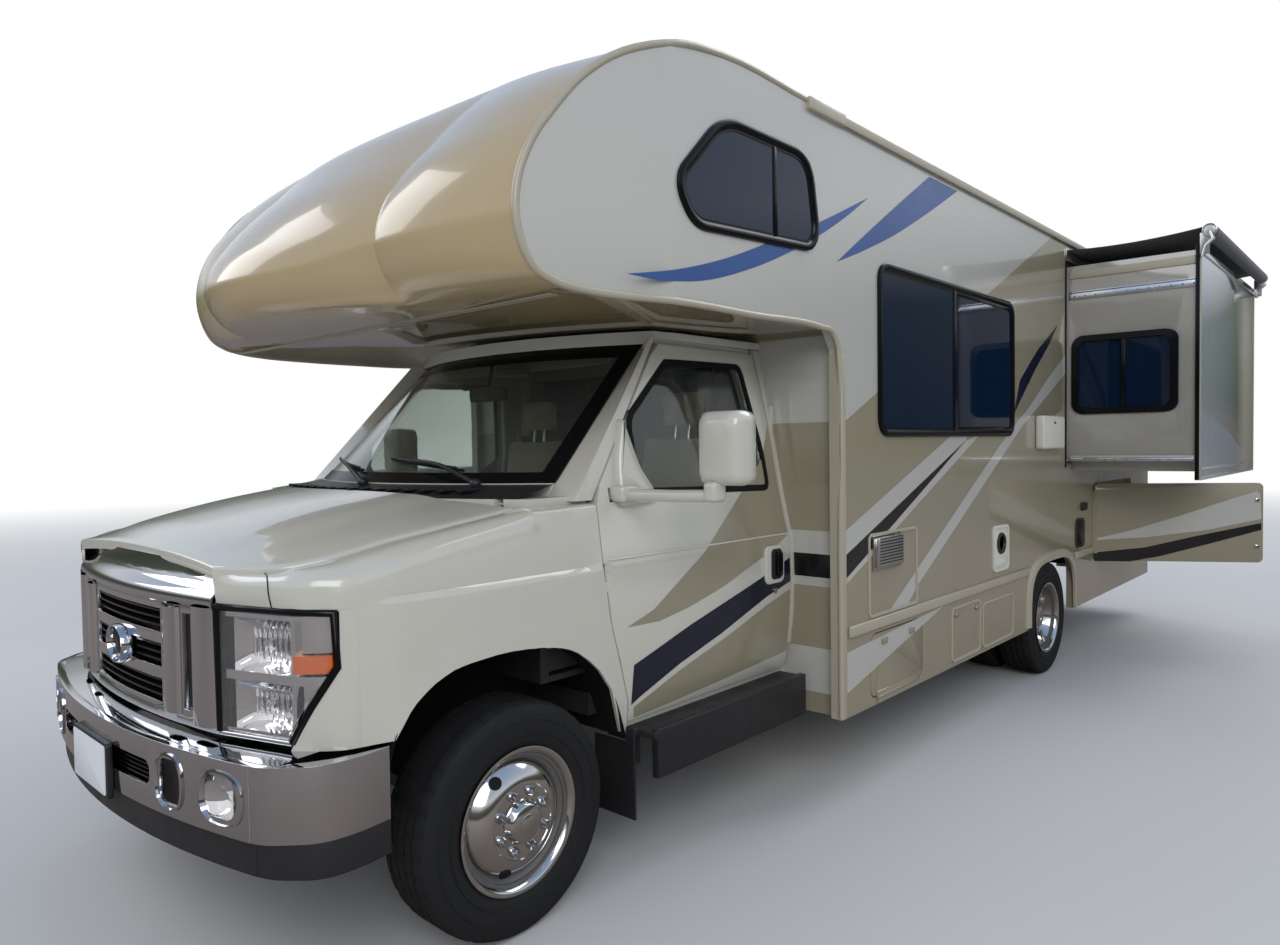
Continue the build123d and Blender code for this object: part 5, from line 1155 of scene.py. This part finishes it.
# (y, half width, edge z, middle z) of the hood from its lip to the cowl
HOOD_STATIONS = [(-0.752, 0.592, 1.215, 1.240), (-0.640, 0.745, 1.215, 1.275), (-0.330, 0.848, 1.276, 1.342),
                 (0.105, 0.880, 1.340, 1.408)]
# (y, x) of the fender's side in plan
FENDER_PLAN = [(-0.575, 0.935), (-0.560, 0.945), (-0.420, 0.985), (-0.200, 1.004), (0.600, 1.007)]
# (z, y) of the door's front edge, less the gap
DOOR_EDGE = [(0.500, 0.505), (0.622, 0.498), (0.740, 0.455), (0.920, 0.393), (1.120, 0.365), (1.330, 0.385),
             (1.350, 0.386)]
FENDER_FRONT = -0.520


def blend(low, high, t):
    """Runs smoothly from 0 to 1 between two values."""
    t = max(0.0, min(1.0, (t - low) / (high - low)))
    return t * t * (3 - 2 * t)


def along(table, at):
    """Smooth values between the rows of a table sorted by its first column."""
    at = max(table[0][0], min(table[-1][0], at))
    k = max(i for i in range(len(table) - 1) if i == 0 or at > table[i][0])
    a, b = table[k], table[k + 1]
    gap = b[0] - a[0]
    slope = [(q - p) / gap for p, q in zip(a[1:], b[1:])]

    def turn(i):
        if i == 0 or i == len(table) - 1:
            return slope
        p, q, r = table[i - 1:i + 2]
        return [((v - u) / (q[0] - p[0]) + (w - v) / (r[0] - q[0])) / 2 for u, v, w in zip(p[1:], q[1:], r[1:])]

    share = (at - a[0]) / gap
    return [eased(p, q, s * gap, e * gap, share) for p, q, s, e in zip(a[1:], b[1:], turn(k), turn(k + 1))]


def straight(table, at):
    """Straight values between the rows of a table sorted by its first column."""
    for (a, p), (b, q) in zip(table, table[1:]):
        if at <= b:
            return p + (q - p) * max(0.0, (at - a) / (b - a))
    return table[-1][1]


def spread(points, count):
    """The same line with a number of evenly spaced points."""
    line = [Vector(p) for p in points]
    runs = [0.0]
    for a, b in zip(line, line[1:]):
        runs.append(runs[-1] + (b - a).length)
    made, k = [], 0
    for i in range(count):
        want = runs[-1] * i / (count - 1)
        while k < len(line) - 2 and runs[k + 1] < want:
            k += 1
        made.append(line[k].lerp(line[k + 1], (want - runs[k]) / max(1e-9, runs[k + 1] - runs[k])))
    return made


# (share across, drop) down the hood's edge, and (share along, drop) round its lip
HOOD_EDGE = [(1.0, 0.024), (1.0, 0.008), (0.997, 0.002), (0.985, 0.0)]


HOOD_LIP = [(0.004, 0.018), (0.000, 0.010), (0.001, 0.003)]


def hood():
    """Hood skin with a raised middle, a turned-down edge and its two hinge arms."""
    shape = Shape()
    shares = [(-u, drop) for u, drop in HOOD_EDGE] + [(u, 0.0) for u in steps(-0.96, 0.96, 40)] + HOOD_EDGE[::-1]
    rows = [[hood_point(u, v, drop + more) for u, drop in shares]
            for v, more in HOOD_LIP + [(v, 0.0) for v in steps(0.006, 0.99, 30)]]
    shape.sheet(rows, "cab", (0, 0.002, -0.016))
    for x0, x1 in ((-0.815, -0.795), (0.795, 0.815)):
        shape.box(x0, x1, -0.015, 0.060, 1.300, 1.330, "frame_black", 0.004)
    shape.piece("hood_skin", "cab_paint", "hood", 50, "hood")


def hood_point(u, v, drop):
    """A point of the hood from its shares across and along."""
    rear = -0.097 + 0.19 * (u * 0.98) ** 2
    y = -0.752 + (rear + 0.752) * v
    half, edge, middle = along(HOOD_STATIONS, y)
    dome = 0.010 * blend(0.74, 0.58, abs(u)) * blend(0.0, 0.25, v)
    return (u * half, y, edge + (middle - edge) * (1 - abs(u) ** 2.4) * 0.97 + dome - drop)


def fender_x(y, z):
    """Half width of the fender's side."""
    wide = 1.009
    near = (wide - straight(FENDER_PLAN, y)) ** 3 + (wide - cab_x(z)) ** 3
    return wide - near ** (1 / 3)


# (y, z) round the front wheel arch
WHEEL_ARCH = [(-0.448, 0.45), (-0.434, 0.735), (-0.374, 0.821), (-0.274, 0.886), (-0.124, 0.910),
              (0.082, 0.899), (0.212, 0.867), (0.306, 0.805), (0.424, 0.662), (0.483, 0.50)]


ARCH_TOP = curve(WHEEL_ARCH[1:], 6)


def arch_z(y):
    """Height of the wheel arch above a point, or of the fender's lower edge."""
    if y <= ARCH_TOP[0][0]:
        return 0.733
    if y >= ARCH_TOP[-1][0]:
        return 0.500
    return straight(ARCH_TOP, y)


def fender_column(at):
    """Points down the fender from the hood's seam, at a share of the way along it."""
    turn = blend(0.10, 0.365, at)
    y_at = lambda z: at + turn * (straight(DOOR_EDGE, z) - 0.365)
    if at < 0.100:
        half, edge, _ = along(HOOD_STATIONS, at)
        inner = half + 0.005
    else:
        edge, inner = 1.340 + 0.005 * blend(0.1, 0.365, at), 0.912
    wide = fender_x(at, edge - 0.09)
    upper = curve([(inner, edge - 0.006), (inner + 0.6 * (wide - inner), edge - 0.014),
                   (wide - 0.010, edge - 0.045), (wide, edge - 0.09)], 4)
    column = [(inner, at, edge - 0.030)] + [(x, y_at(z), z) for x, z in upper]
    press = 0.006 * blend(-0.52, -0.42, at) * blend(0.36, 0.30, at)
    for z, push in ((1.136, -press * 0.3), (1.129, -press * 0.6), (1.115, press * 0.8), (1.108, press)):
        column.append((fender_x(at, z) + push, y_at(z), z))
    foot = 1.10
    while foot > arch_z(y_at(foot)) and foot > 0.500:
        foot -= 0.002
    for z in steps(1.108, foot, 14)[1:]:
        push = press * (z - foot) / (1.108 - foot) + 0.004 * blend(0.09, 0.0, z - foot) * blend(-0.46, -0.42, at)
        column.append((fender_x(at, z) + push, y_at(z), z))
    return column


def lamp_corner(ends):
    """Rows round the fender's corner beside the lamp, to the (x, y, z) ends of its side."""
    rows = []
    for x, y, z in ends:
        edge = lamp_edge(z) + 0.007
        line = [(edge, lamp_y(edge) + 0.001), (0.943, -0.560), (x, y)]
        if edge < 0.89:
            line.insert(1, (0.902, -0.607))
        rows.append([(a, b, z) for a, b in spread(curve(line, 5), 10)])
    return rows


def fender_nose(side_edge, corner_top):
    """Rows of the swelling patch above the lamp, between the hood's seam, the side and the corner's top row."""
    under = [(x, lamp_y(min(x, 0.932)) + 0.001) for x in steps(0.594, 0.936, 12)]
    under += [(a, b) for a, b, _ in corner_top[1:]]
    bottom = [Vector((x, y, 1.109)) for x, y in spread(under, 25)]
    over = [(0.594, -0.7495, 1.194), (0.745, -0.643, 1.198)]
    for y in (-0.60, -0.56, FENDER_FRONT):
        half, edge, _ = along(HOOD_STATIONS, y)
        over.append((half + 0.005, y, edge - 0.006))
    top = spread(over, 25)
    left = spread([tuple(bottom[0]), (0.594, -0.7490, 1.140), tuple(top[0])], len(side_edge))
    rows = []
    for v, start, end in zip(steps(0, 1, len(side_edge) - 1), left, side_edge):
        row = []
        for u, low, high in zip(steps(0, 1, 24), bottom, top):
            flat = low * (1 - v) + high * v + start * (1 - u) + end * u
            flat -= (bottom[0] * (1 - u) + bottom[-1] * u) * (1 - v) + (top[0] * (1 - u) + top[-1] * u) * v
            row.append(flat + Vector((0.35, -0.7, 0.6)) * 0.022 * math.sin(math.pi * v) * math.sin(math.pi * u))
        rows.append(row)
    return rows


# y of the columns down a fender: close together where its side begins and where the door's gap starts to lean
FENDER_COLUMNS = [FENDER_FRONT, -0.48, -0.455, -0.440, -0.434, -0.425, -0.41, -0.39, -0.37,
                  *steps(-0.34, 0.05, 13), 0.075, 0.0995, 0.1005, *steps(0.13, 0.34, 7), 0.3655]


def fenders():
    """Side, shoulder and nose of each front fender, with its wheel well lining and inner apron."""
    columns = [fender_column(at) for at in FENDER_COLUMNS]
    first = columns[0]
    split = len(first) - 15
    corner = lamp_corner(first[split:])
    nose = fender_nose([Vector(q) for q in reversed(first[1:split + 1])], corner[0])
    arch = curve(WHEEL_ARCH, 4)
    for shape in pair("fender", "cab_paint", smooth=38, instead="front_fenders"):
        shape.sheet([list(row) for row in zip(*columns)], "cab", (-0.012, 0, 0))
        shape.sheet(corner, "cab", (-0.004, 0.012, 0))
        shape.sheet(nose, "cab", (0, 0.010, -0.006))
        shape.tube([row[11] + Vector((0, -0.0005, 0)) for row in nose], 0.0022, "black", 6)
        rows = [[(x, y, z + 0.004) for y, z in arch] for x in (0.55, 0.66, 0.80, 0.925, 0.985)]
        shape.sheet(rows, "rubber", (0, 0, 0.004))
        shape.sheet([[(0.55, y, z) for y, z in arch], [(0.55, y, 0.47) for y, z in arch]], "rubber")
        shape.box(0.588, 0.602, -0.430, 0.158, 0.925, 1.180, "black", 0.003)


def front_end():
    fenders()
    hood()
    shell = rounded("cab_shell", "cab", 0.008, 3)
    by_facing(shell, "black", lambda way, at: at.y < 0.60 and at.z < 1.0)
    grille()
    lamps()
    bumper()
    rounded("running_boards", "black", 0.004)
    dress("dash", "dashboard")
    dress("frame_black", "chassis_frame", "floor_joists", "front_axle", "rear_axle", "hitch_receiver")
    dress("iron", "engine", "knuckle_left", "knuckle_right")


# Wheels


TYRE_WIDE = 0.222
# (share of the half width, radius lost) across the tread from the middle to the shoulder
TREAD = [(0.0, 0.0), (0.13, 0.0), (0.13, 0.008), (0.19, 0.008), (0.19, 0.0), (0.48, 0.0), (0.48, 0.008),
         (0.55, 0.008), (0.55, 0.0), (0.74, 0.003), (0.80, 0.006)]
# (share of the half width, radius) down the sidewall
SIDEWALL = [(0.88, 0.356), (0.95, 0.341), (0.985, 0.322), (1.0, 0.300), (0.995, 0.280), (0.97, 0.258),
            (0.93, 0.240), (0.86, 0.228), (0.80, 0.2215)]


# Rows of TREAD that the slots run through
SLOTTED = {4, 5, 8, 9, 10}


def tyre(shape, x, y):
    """A road tyre with grooves along its tread and slots across its ribs."""
    half = TYRE_WIDE / 2
    right = [(share * half, TYRE_RADIUS - lost, index in SLOTTED) for index, (share, lost) in enumerate(TREAD)]
    right += [(share * half, radius, False) for share, radius in SIDEWALL]
    rows = []
    for offset, radius, slotted in [(-o, r, s) for o, r, s in reversed(right[1:])] + right:
        ring = []
        for k, (c, s) in enumerate(circle(180)):
            slot = slotted and k % 5 == (0 if offset > 0 else 2)
            deep = radius - (0.005 if slot else 0.0)
            ring.append((x + offset, y + deep * s, TYRE_RADIUS + deep * c))
        rows.append(ring)
    shape.rings(rows, "tyre")
    for radius in (0.268, 0.312):
        for way in (-1, 1):
            low, high = way * (half - 0.004), way * (half + 0.0015)
            shape.turn([(low, radius - 0.003), (high, radius), (low, radius + 0.003)], (x, y, TYRE_RADIUS),
                       "tyre", sides=72)


# (share of the half width, radius) of a wheel liner's lip
LINER_LIP = [(0.78, 0.2200), (0.90, 0.2265), (0.955, 0.2290), (0.965, 0.2240), (0.93, 0.2140), (0.80, 0.2060),
             (0.62, 0.2020), (0.56, 0.1960), (0.58, 0.1900)]


# The same of each face, with the places of its nuts, its cap, and its holes with their lean and angles
LINER_FACES = {
    "front": ([(0.66, 0.1800), (0.80, 0.1650), (0.93, 0.1450), (1.00, 0.1250), (1.01, 0.1180), (0.985, 0.1160),
               (0.985, 0.0700), (1.02, 0.0660), (1.20, 0.0600), (1.24, 0.0540), (1.25, 0.0)],
              (0.985, 0.092), (1.252, 1.265), (0.80, 0.1640, 0.65), (200, 328)),
    "rear": ([(0.20, 0.1750), (-0.35, 0.1600), (-0.55, 0.1350), (-0.56, 0.1050), (-0.40, 0.0900), (0.10, 0.0800),
              (0.42, 0.0740), (0.50, 0.0660), (0.51, 0.0)],
             (-0.56, 0.118), (0.515, 0.53), (-0.45, 0.1500, -0.4), (45, 135, 225, 315)),
}


def liner(shape, x, y, kind):
    """Stainless wheel liner with its hub, nut covers and hand holes."""
    face, nut, cap_shares, hole, angles = LINER_FACES[kind]
    (nut_share, nut_radius), (cap_low, cap_high), (hole_share, hole_radius, lean) = nut, cap_shares, hole
    half = TYRE_WIDE / 2
    centre = Vector((x, y, TYRE_RADIUS))
    shape.turn([(half * share, radius) for share, radius in LINER_LIP + face], centre, "steel", sides=96)
    cap_profile = [(half * cap_low, 0.030), (half * cap_high, 0.028), (half * cap_high, 0.0)]
    shape.turn(cap_profile, centre, "steel", sides=32)
    for k in range(8):
        angle = 2 * math.pi * (k + 0.5) / 8
        spoke = Vector((0, math.sin(angle), math.cos(angle)))
        at = centre + Vector((half * nut_share, 0, 0)) + spoke * nut_radius
        shape.turn([(0.0, 0.0165), (0.012, 0.0155), (0.022, 0.011), (0.026, 0.0)], at, "chrome", sides=18)
    for degrees in angles:
        angle = math.radians(degrees)
        spoke = Vector((0, math.sin(angle), math.cos(angle)))
        at = centre + Vector((half * hole_share, 0, 0)) + spoke * hole_radius
        shape.turn([(-0.006, 0.021), (0.0035, 0.020), (0.0035, 0.0)], at, "rubber",
                   Vector((0.75, 0, 0)) + spoke * lean, 24)


def wheels():
    low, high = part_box("rear_tyres_left")
    twins = (low.x - CENTRE_X + TYRE_WIDE / 2, high.x - CENTRE_X - TYRE_WIDE / 2)
    for shape in pair("road_tyre_front", "tyre", "front_wheel_", 30, "front_tyre_"):
        tyre(shape, FRONT_WHEEL_X, 0.0)
    for shape in pair("road_tyres_rear", "tyre", "rear_wheels_", 30, "rear_tyres_"):
        for x in twins:
            tyre(shape, x, WHEELBASE)
    for shape in pair("wheel_liner_front", "wheel_steel", "front_wheel_", 40):
        liner(shape, FRONT_WHEEL_X, 0.0, "front")
    for shape in pair("wheel_liner_rear", "wheel_steel", "rear_wheels_", 40):
        liner(shape, twins[1], WHEELBASE, "rear")
    dress("iron", "front_rim_left", "front_rim_right", "rear_rims_left", "rear_rims_right")


# Doors and slide-out


BAY_HINGE = (SIDE_X + 0.0053, 5.185)
BAY_OPEN = math.radians(60)


# (distance from the hinge, z) of the stripes on the open bay door
BAY_STRIPES = {
    "pale": ([(0.008, 0.805), (0.26, 0.871), (0.585, 0.981), (0.904, 1.098), (1.060, 1.150), (1.080, 1.130),
              (1.088, 0.956), (0.746, 0.875), (0.342, 0.818), (0.008, 0.796)], "white"),
    "black": ([(0.008, 0.705), (0.342, 0.745), (0.667, 0.829), (1.088, 0.926), (1.088, 0.877), (0.763, 0.777),
               (0.441, 0.683), (0.244, 0.642), (0.008, 0.642)], "black_stripe"),
}


def on_bay_door(reach, z, lift):
    """A point on the outer face of the open bay door."""
    dx, dy = SIDE_X - BAY_HINGE[0] + lift, reach
    c, s = math.cos(BAY_OPEN), math.sin(BAY_OPEN)
    return (BAY_HINGE[0] + dx * c + dy * s, BAY_HINGE[1] - dx * s + dy * c, z)


def by_facing(thing, material, test):
    """Gives the faces that pass a test a second material."""
    thing.data.materials.append(M[material])
    number = len(thing.data.materials) - 1
    for polygon in thing.data.polygons:
        if test(polygon.normal, polygon.center - SHIFT):
            polygon.material_index = number


def bay_door():
    """Stripes, two latches and the rubber seal of the rear bay's door."""
    rounded("rear_bay_door", "tan", 0.003)
    for name, (outline, material) in BAY_STRIPES.items():
        on = lambda reach, z: on_bay_door(reach, z, LIFT)
        decal("bay_stripe_" + name, outline, on, "rear_bay_door", material)
    shape = Shape()
    normal = Vector((math.cos(BAY_OPEN), -math.sin(BAY_OPEN), 0))
    for z in (0.76, 1.09):
        at = Vector(on_bay_door(1.060, z, 0.0))
        shape.turn([(-0.001, 0.016), (0.010, 0.015), (0.012, 0.012), (0.012, 0.0)], at, "steel", normal, 24)
        shape.tube([at + normal * 0.008, at + normal * 0.016], 0.006, "black", 12)
    seal = rounded_outline([(0.024, 0.658), (1.074, 0.658), (1.074, 1.197), (0.024, 1.197)], 0.05)
    path = [on_bay_door(reach, z, -0.010) for reach, z in seal]
    shape.tube(path + path[:1], 0.004, "rubber", 6)
    shape.piece("bay_door_latches", "coach_paint", "rear_bay_door", 50)


# (low z, high z, height over the wall, material, bevel) of the rails along the slide-out's end walls
SLIDE_RAILS = [(2.465, 2.508, 0.009, "silver", 0.003), (2.510, 2.520, 0.006, "silver", 0.002),
               (2.605, 2.655, 0.008, "trim", 0.003), (1.387, 1.410, 0.0075, "silver", 0.003),
               (1.411, 1.424, 0.009, "white", 0.003)]


# (low y, high y, low z, high z, height over the face, material) of the strips on its face
SLIDE_STRIPS = [(4.555, 6.725, 1.330, 1.346, 0.006, "white"), (4.555, 6.725, 2.660, 2.676, 0.006, "white"),
                (4.552, 4.570, 1.27, 2.69, 0.006, "trim"), (6.710, 6.728, 1.27, 2.69, 0.006, "trim"),
                (4.57, 6.71, 1.268, 1.290, 0.005, "white")]


# (low y, high y, low z, high z, height over the coach's side, material) round its opening
SLIDE_SEALS = [(4.529, 4.5545, 1.345, 2.715, 0.0045, "rubber"),
               (6.7255, 6.751, 1.345, 2.715, 0.0045, "rubber"),
               (4.535, 6.745, 2.706, 2.735, 0.0045, "rubber"), (4.535, 6.745, 2.755, 2.815, 0.008, "alu")]


def slide_out():
    """Slide-out walls with their rails, seals and fasteners, its window's frame and the topper's arms."""
    room = rounded("slide_out", "slide_wall", 0.004)
    by_facing(room, "slide_face", lambda normal, at: normal.x > 0.9 and at.x > SLIDE_X - 0.03)
    by_facing(room, "gloss_black", lambda normal, at: abs(normal.y) > 0.9 and at.x > SLIDE_X - 0.028
              and (at.y < SLIDE_FRONT_Y - 0.01 or at.y > SLIDE_REAR_Y + 0.01))
    shape = Shape()
    for face, way in ((SLIDE_FRONT_Y, -1), (SLIDE_REAR_Y, 1)):
        for z0, z1, proud, material, bevel in SLIDE_RAILS:
            y0, y1 = sorted((face, face + way * proud))
            shape.box(1.275, SLIDE_X - 0.026, y0, y1, z0, z1, material, bevel)
        near, far = face + way * 0.006, face + way * 0.0098
        for z in (2.487, 1.399):
            for x in steps(1.31, 1.992, 11):
                shape.tube([(x, near, z), (x, far, z)], 0.006, "steel")
    for y0, y1, z0, z1, proud, material in SLIDE_STRIPS:
        shape.box(SLIDE_X - 0.001, SLIDE_X + proud, y0, y1, z0, z1, material, 0.002)
    shape.piece("slide_trims", "coach_paint", "slide_out", 40)
    shape = Shape()
    for y0, y1, z0, z1, proud, material in SLIDE_SEALS:
        shape.box(SIDE_X - 0.004, SIDE_X + proud, y0, y1, z0, z1, material, 0.003)
    shape.piece("slide_seals", "coach_paint", smooth=40)
    shape = Shape()
    outline = rounded_rect(1.290, 1.905, 1.700, 2.222, 0.075)
    inner = rounded_rect(1.330, 1.865, 1.740, 2.182, 0.05)
    section = ((outline, 0.0), (outline, -0.016), (inner, -0.020), (inner, 0.010))
    shape.rings([[(a, SLIDE_FRONT_Y + push, b) for a, b in points] for points, push in section], "gloss_black")
    shape.box(1.590, 1.612, SLIDE_FRONT_Y - 0.018, SLIDE_FRONT_Y, 1.74, 2.182, "gloss_black", 0.004)
    shape.piece("slide_window_frame", "dark_glass", "slide_out", 40)
    dress("dark_glass", "slide_window")
    rounded("topper_roller", "alu", 0.002)
    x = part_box("topper_roller")[1].x - CENTRE_X - 0.032
    shape = Shape()
    shape.tube([(x, 4.560, 2.790), (x, 6.720, 2.790)], 0.040, "topper", 20)
    for y in (4.537, 6.743):
        end_cap = [(-0.012, 0.036), (-0.010, 0.040), (0.010, 0.040), (0.012, 0.036), (0.012, 0.0)]
        shape.turn(end_cap, (x, y, 2.790), "alu", (0, 1, 0), 24)
        arm = [(SLIDE_X + 0.014, y, 2.640), (SLIDE_X + 0.030, y, 2.70), (x + 0.018, y, 2.735), (x, y, 2.785)]
        shape.tube(arm, 0.011, "alu")
    shape.piece("topper_arms", "aluminium", "slide_out", 50)


def doors_and_slide():
    rounded("entry_door", "tan", 0.004)
    dress("dark_glass", "entry_glass")
    rounded("luggage_door_left", "tan", 0.003)
    rounded("luggage_door_right", "tan", 0.003)
    bay_door()
    slide_out()


def frozen(thing):
    """The mesh of an object with its modifiers applied."""
    layers = bpy.context.evaluated_depsgraph_get()
    mesh = bpy.data.meshes.new_from_object(thing.evaluated_get(layers))
    thing.modifiers.clear()
    thing.data = mesh
    return mesh


def stuffed(shape, name, voxel=0.011, reach=0.022):
    """Swells a closed form as a filled cover does, with no point moved further than the reach."""
    for v in shape.bm.verts:
        v.co += SHIFT
    thing = bpy.data.objects.new(name, mesh_of(shape.bm, name, "seat"))
    bpy.context.scene.collection.objects.link(thing)
    even = thing.modifiers.new("even", "REMESH")
    even.mode = "VOXEL"
    even.voxel_size = voxel
    mesh = frozen(thing)
    start = [v.co.copy() for v in mesh.vertices]
    cover = thing.modifiers.new("cover", "CLOTH")
    cover.settings.use_pressure = True
    cover.settings.uniform_pressure_force = 4
    cover.settings.effector_weights.gravity = 0
    for step in range(1, 21):
        bpy.context.scene.frame_set(step)
    mesh = frozen(thing)
    bpy.context.scene.frame_set(1)
    for v, old in zip(mesh.vertices, start):
        move = v.co - old
        if move.length > reach:
            v.co = old + move * (reach / move.length)
    thing.modifiers.new("finer", "SUBSURF").levels = 1
    mesh = frozen(thing)
    bpy.data.objects.remove(thing)
    mesh.materials.clear()
    mesh.materials.append(M["seat"])
    return mesh


# (name, outline in (y, z), low x, high x) of each pad of the left seat
SEAT_PADS = [
             ("cushion", [(0.820, 0.897), (1.300, 0.897), (1.300, 0.985), (0.870, 0.992), (0.820, 0.965)],
              0.270, 0.730),
             ("back", [(1.240, 1.010), (1.345, 1.010), (1.435, 1.580), (1.355, 1.580)], 0.280, 0.720),
             ("head", [(1.375, 1.625), (1.440, 1.625), (1.445, 1.775), (1.380, 1.775)], 0.385, 0.615)]


def seats():
    """Captain's seats with filled pads on their pedestals."""
    for name, outline, x0, x1 in SEAT_PADS:
        shape = Shape()
        shape.prism(outline, x0, x1, "x", "seat", 0.022, 3)
        left = stuffed(shape, "seat_" + name)
        right = left.copy()
        for v in right.vertices:
            v.co.x = 2 * CENTRE_X - v.co.x
        right.flip_normals()
        for mesh, word in ((left, "left"), (right, "right")):
            pad = place(f"seat_{name}_{word}", mesh, "vehicle", 60)
            if name == "cushion" and word == "left":
                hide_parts("cab_seats")
    for shape in pair("seat_base", "seat_fabric"):
        shape.box(0.31, 0.69, 0.90, 1.26, 0.69, 0.888, "dash", 0.01)
        for x in (0.46, 0.54):
            shape.tube([(x, 1.395, 1.56), (x, 1.410, 1.66)], 0.006, "steel", 12)


def topper():
    """Slide-out's fabric cover, sagging a little between the wall and the roller."""
    x0, z0 = SIDE_X + 0.002, 2.802
    x1, z1 = 2.075, 2.824
    y0, y1 = 4.555, 6.725
    shape = Shape()
    grid = []
    for v in steps(0, 1, 40):
        line = []
        for u in steps(0, 1, 24):
            hang = 4 * u * (1 - u)
            sag = 0.030 * hang * (0.75 + 0.25 * math.sin(math.pi * v)) - 0.0025 * hang * math.sin(v * 40)
            line.append((x0 + (x1 - x0) * u, y0 + (y1 - y0) * v, z0 + (z1 - z0) * u - sag))
        grid.append(line)
    shape.rings(grid, "topper", closed=False)
    cloth = shape.piece("topper_cloth", "topper_fabric", smooth=60, instead="topper_fabric")
    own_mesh(cloth)


# Studio


# (height from 0 below to 1 above, colour) of what polished faces mirror, and of the soft sky
MIRRORED_STOPS = [(0.0, (0.10, 0.08, 0.07)), (0.48, (0.16, 0.13, 0.11)), (0.51, (0.07, 0.085, 0.06)),
                  (0.575, (0.13, 0.15, 0.12)), (0.63, (0.90, 0.94, 1.0)), (0.72, (0.62, 0.74, 0.92)),
                  (1.0, (0.30, 0.44, 0.74))]


SKY_STOPS = [(0.0, (0.16, 0.15, 0.13)), (0.46, (0.20, 0.19, 0.17)), (0.505, (0.74, 0.76, 0.78)),
             (0.60, (0.60, 0.67, 0.78)), (1.0, (0.36, 0.46, 0.66))]


# (place, aim, size, power) of each soft light, in the vehicle's coordinates
LIGHTS = [
    ((9.0, -7.0, 7.5), (0.8, 1.0, 1.2), 7.0, 620),
    ((-8.0, -5.0, 8.0), (0.0, 1.5, 1.5), 7.0, 380),
    ((3.0, 10.0, 11.0), (0.5, 4.0, 1.5), 8.0, 620),
]


def floor():
    """Pale ground that fades to white far off for the camera."""
    bpy.ops.mesh.primitive_plane_add(size=120, location=(0, 0, 0))
    ground = bpy.context.object
    ground.name = "studio_floor"
    n = Nodes("studio_floor")
    path = n.add("ShaderNodeLightPath").outputs
    far = n.put(n.add("ShaderNodeVectorMath", operation="LENGTH"), {0: n.place}).outputs["Value"]
    part = n.math("MULTIPLY", n.spread(far, 0.0, 1.0, 7.0, 26.0), path["Is Camera Ray"])
    tone = n.mix(path["Is Glossy Ray"], (0.60, 0.585, 0.56), (0.26, 0.21, 0.175))
    n.put(n.shader, {"Base Color": tone, "Roughness": 0.85})
    glow = n.put(n.add("ShaderNodeEmission"), {"Strength": 1.0})
    n.put(n.tree.nodes["Material Output"], {"Surface": n.blend(part, n.shader.outputs[0], glow.outputs[0])})
    ground.data.materials.append(n.material)


def studio():
    """Floor, soft lights, and a sky that the camera sees as white."""
    floor()
    world = bpy.data.worlds.new("studio")
    bpy.context.scene.world = world
    world.use_nodes = True
    world.node_tree.nodes.clear()
    n = Tree(world.node_tree)
    path = n.add("ShaderNodeLightPath").outputs
    seen = n.math("MAXIMUM", path["Is Camera Ray"], path["Is Transmission Ray"])
    split = n.put(n.add("ShaderNodeSeparateXYZ"), {0: n.add("ShaderNodeTexCoord").outputs["Generated"]})
    height = n.math("MULTIPLY_ADD", split.outputs["Z"], 0.5, 0.5)
    sky = n.mix(path["Is Glossy Ray"], n.ramp(height, SKY_STOPS), n.ramp(height, MIRRORED_STOPS))
    lit = n.put(n.add("ShaderNodeBackground"), {"Color": sky, "Strength": 0.85})
    white = n.put(n.add("ShaderNodeBackground"), {"Color": (1.0, 1.0, 1.0), "Strength": 1.0})
    surface = n.blend(seen, lit.outputs[0], white.outputs[0])
    n.put(n.add("ShaderNodeOutputWorld"), {"Surface": surface})
    for index, (spot, aim, size, power) in enumerate(LIGHTS):
        data = bpy.data.lights.new(f"soft_{index}", "AREA")
        data.size = size
        data.energy = power
        lamp = bpy.data.objects.new(f"soft_{index}", data)
        bpy.context.scene.collection.objects.link(lamp)
        lamp.location = Vector(spot) + SHIFT
        lamp.rotation_euler = (Vector(aim) - Vector(spot)).to_track_quat("-Z", "Y").to_euler()


# Camera: place, turn from +Y towards -X, tilt and roll in degrees, and lens for a 36 mm wide sensor
CAMERA_AT = (3.0717, -1.7189, 1.5315)
CAMERA_YAW, CAMERA_PITCH, CAMERA_ROLL = 42.295, -1.758, -0.817
CAMERA_LENS = 24.404


def camera():
    yaw, pitch, roll = (math.radians(a) for a in (CAMERA_YAW, CAMERA_PITCH, CAMERA_ROLL))
    ahead = Vector((-math.sin(yaw) * math.cos(pitch), math.cos(yaw) * math.cos(pitch), math.sin(pitch)))
    right = Vector((math.cos(yaw), math.sin(yaw), 0))
    up = right.cross(ahead)
    rolled_right = right * math.cos(roll) + up * math.sin(roll)
    rolled_up = -right * math.sin(roll) + up * math.cos(roll)
    data = bpy.data.cameras.new("photo_view")
    data.sensor_width = 36
    data.lens = CAMERA_LENS
    data.clip_end = 300
    eye = bpy.data.objects.new("photo_view", data)
    bpy.context.scene.collection.objects.link(eye)
    turn = Matrix((rolled_right, rolled_up, -ahead)).transposed().to_4x4()
    eye.matrix_world = Matrix.Translation(Vector(CAMERA_AT) + SHIFT) @ turn
    bpy.context.scene.camera = eye


coach_body()
cab_doors()
windscreen()
front_end()
wheels()
doors_and_slide()
seats()
topper()
studio()
camera()
bpy.context.scene.view_settings.view_transform = "Standard"
